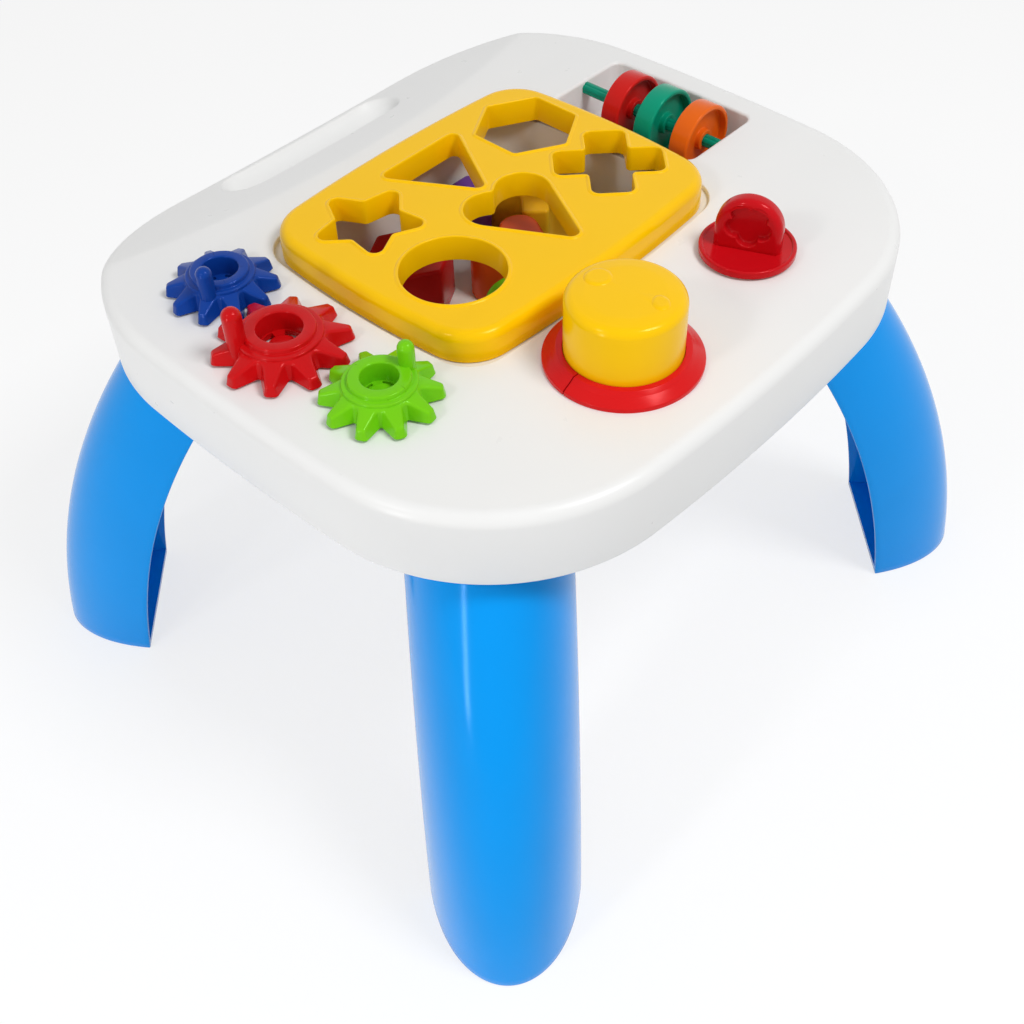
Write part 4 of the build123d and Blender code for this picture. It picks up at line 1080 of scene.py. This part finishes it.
def upright(shell, side=1.0):
    """A shell drawn flat, stood up so that its level runs along Y."""
    points, faces = shell
    return np.column_stack((points[:, 0], -side * points[:, 2], points[:, 1])), faces


band = bend(-grip_round, grip_face - grip_round, grip_round, QUARTER, 0.0, 9)
band += [(off, -level) for off, level in band[::-1]]
panel = sheet(offset(arch, -grip_round), [offset(recess_loop, recess_edge[0][0])], no_spots, grip_face, 0.25)
recess = sweep(recess_loop, recess_edge, grip_face, "last")
knob_shells = [lathe(disc_profile, 112), upright(sweep(arch, band))]
for side in (1.0, -1.0):
    knob_shells += [upright(panel, side), upright(recess, side)]
knob_shells = [moved(shell, (*knob_middle, turn_floor), knob_turn) for shell in knob_shells]
piece("twist_knob", knob_shells, knob_red, "knob", "knob")
keep_shaft("steel_knob_screw", "knob", knob_middle)

# Studio: a pale floor that keeps the soft shadows, broad soft lamps and the photograph's camera.
# The background is white to the camera and in reflections, and dimmer as a light.
scene = bpy.context.scene
white = (1.0, 1.0, 1.0, 1.0)
floor_reach = 6.0


def seen_directly(tree):
    """One where the camera sees a surface, straight, mirrored or through glass, and zero for its light."""
    rays = tree.nodes.new("ShaderNodeLightPath").outputs
    mirrored = maths(tree, "MAXIMUM", rays["Is Glossy Ray"], rays["Is Transmission Ray"])
    return maths(tree, "MAXIMUM", rays["Is Camera Ray"], mirrored)


def shifted(tree, value, unseen, seen):
    """A number that is one thing to the camera and another as a light."""
    return add_node(tree, "ShaderNodeMapRange", {"Value": value, "To Min": unseen, "To Max": seen})


floor_mesh = bpy.data.meshes.new("studio_floor")
floor_corners = [(floor_reach * x, floor_reach * y, 0.0) for x, y in ((-1, -1), (1, -1), (1, 1), (-1, 1))]
floor_mesh.from_pydata(floor_corners, [], [(0, 1, 2, 3)])
floor = bpy.data.objects.new("studio_floor", floor_mesh)
scene.collection.objects.link(floor)
floor_white = bpy.data.materials.new("studio floor white")
floor_white.use_nodes = True
tree = floor_white.node_tree
tree.nodes.clear()
floor_seen = seen_directly(tree)
paper = add_node(tree, "ShaderNodeBsdfDiffuse", {"Color": shifted(tree, floor_seen, 0.86, 0.3)})
glow = add_node(tree, "ShaderNodeEmission", {
    "Color": white, "Strength": shifted(tree, floor_seen, 0.0, 0.73)})
both = add_node(tree, "ShaderNodeAddShader", {0: paper, 1: glow})
add_node(tree, "ShaderNodeOutputMaterial", {"Surface": both})
floor_mesh.materials.append(floor_white)

world = bpy.data.worlds.new("studio white")
scene.world = world
world.use_nodes = True
tree = world.node_tree
feed(tree, tree.nodes["Background"], {
    "Color": white, "Strength": shifted(tree, seen_directly(tree), 0.44, 1.0)})


def soft_lamp(name, place, aim, size, watts):
    """A broad flat lamp that faces a point of the table."""
    data = bpy.data.lights.new(name, "AREA")
    data.shape = "RECTANGLE"
    data.size, data.size_y = size
    data.energy = watts
    lamp = bpy.data.objects.new(name, data)
    scene.collection.objects.link(lamp)
    lamp.location = place
    lamp.rotation_euler = (Vector(aim) - Vector(place)).to_track_quat("-Z", "Y").to_euler()


soft_lamp("overhead lamp", (0.2, -1.0, 1.8), (0.0, 0.0, 0.25), (0.55, 0.5), 16.0)
soft_lamp("left lamp", (-1.3, 0.05, 1.3), (0.0, 0.0, 0.25), (0.2, 0.2), 3.0)
soft_lamp("low strip lamp", (-1.45, -0.15, 0.36), (-0.15, -0.15, 0.2), (0.12, 0.66), 4.0)

camera_data = bpy.data.cameras.new("photo camera")
camera_data.sensor_width = 36.0
camera_data.lens = 1358.4 * camera_data.sensor_width / 1024.0
camera_data.clip_end = 50.0
camera = bpy.data.objects.new("photo camera", camera_data)
scene.collection.objects.link(camera)
azimuth, elevation, roll = math.radians(-46.047), math.radians(47.163), math.radians(-2.0)
back = Vector((math.sin(azimuth) * math.cos(elevation), -math.cos(azimuth) * math.cos(elevation),
               math.sin(elevation)))
right = Vector((math.cos(azimuth), math.sin(azimuth), 0.0))
up = back.cross(right)
right, up = (math.cos(roll) * right + math.sin(roll) * up, -math.sin(roll) * right + math.cos(roll) * up)
pose = Matrix((right, up, back)).transposed().to_4x4()
pose.translation = Vector((-495.40, -475.86, 798.38)) * MM
camera.matrix_world = pose
scene.camera = camera
scene.view_settings.view_transform = "Standard"
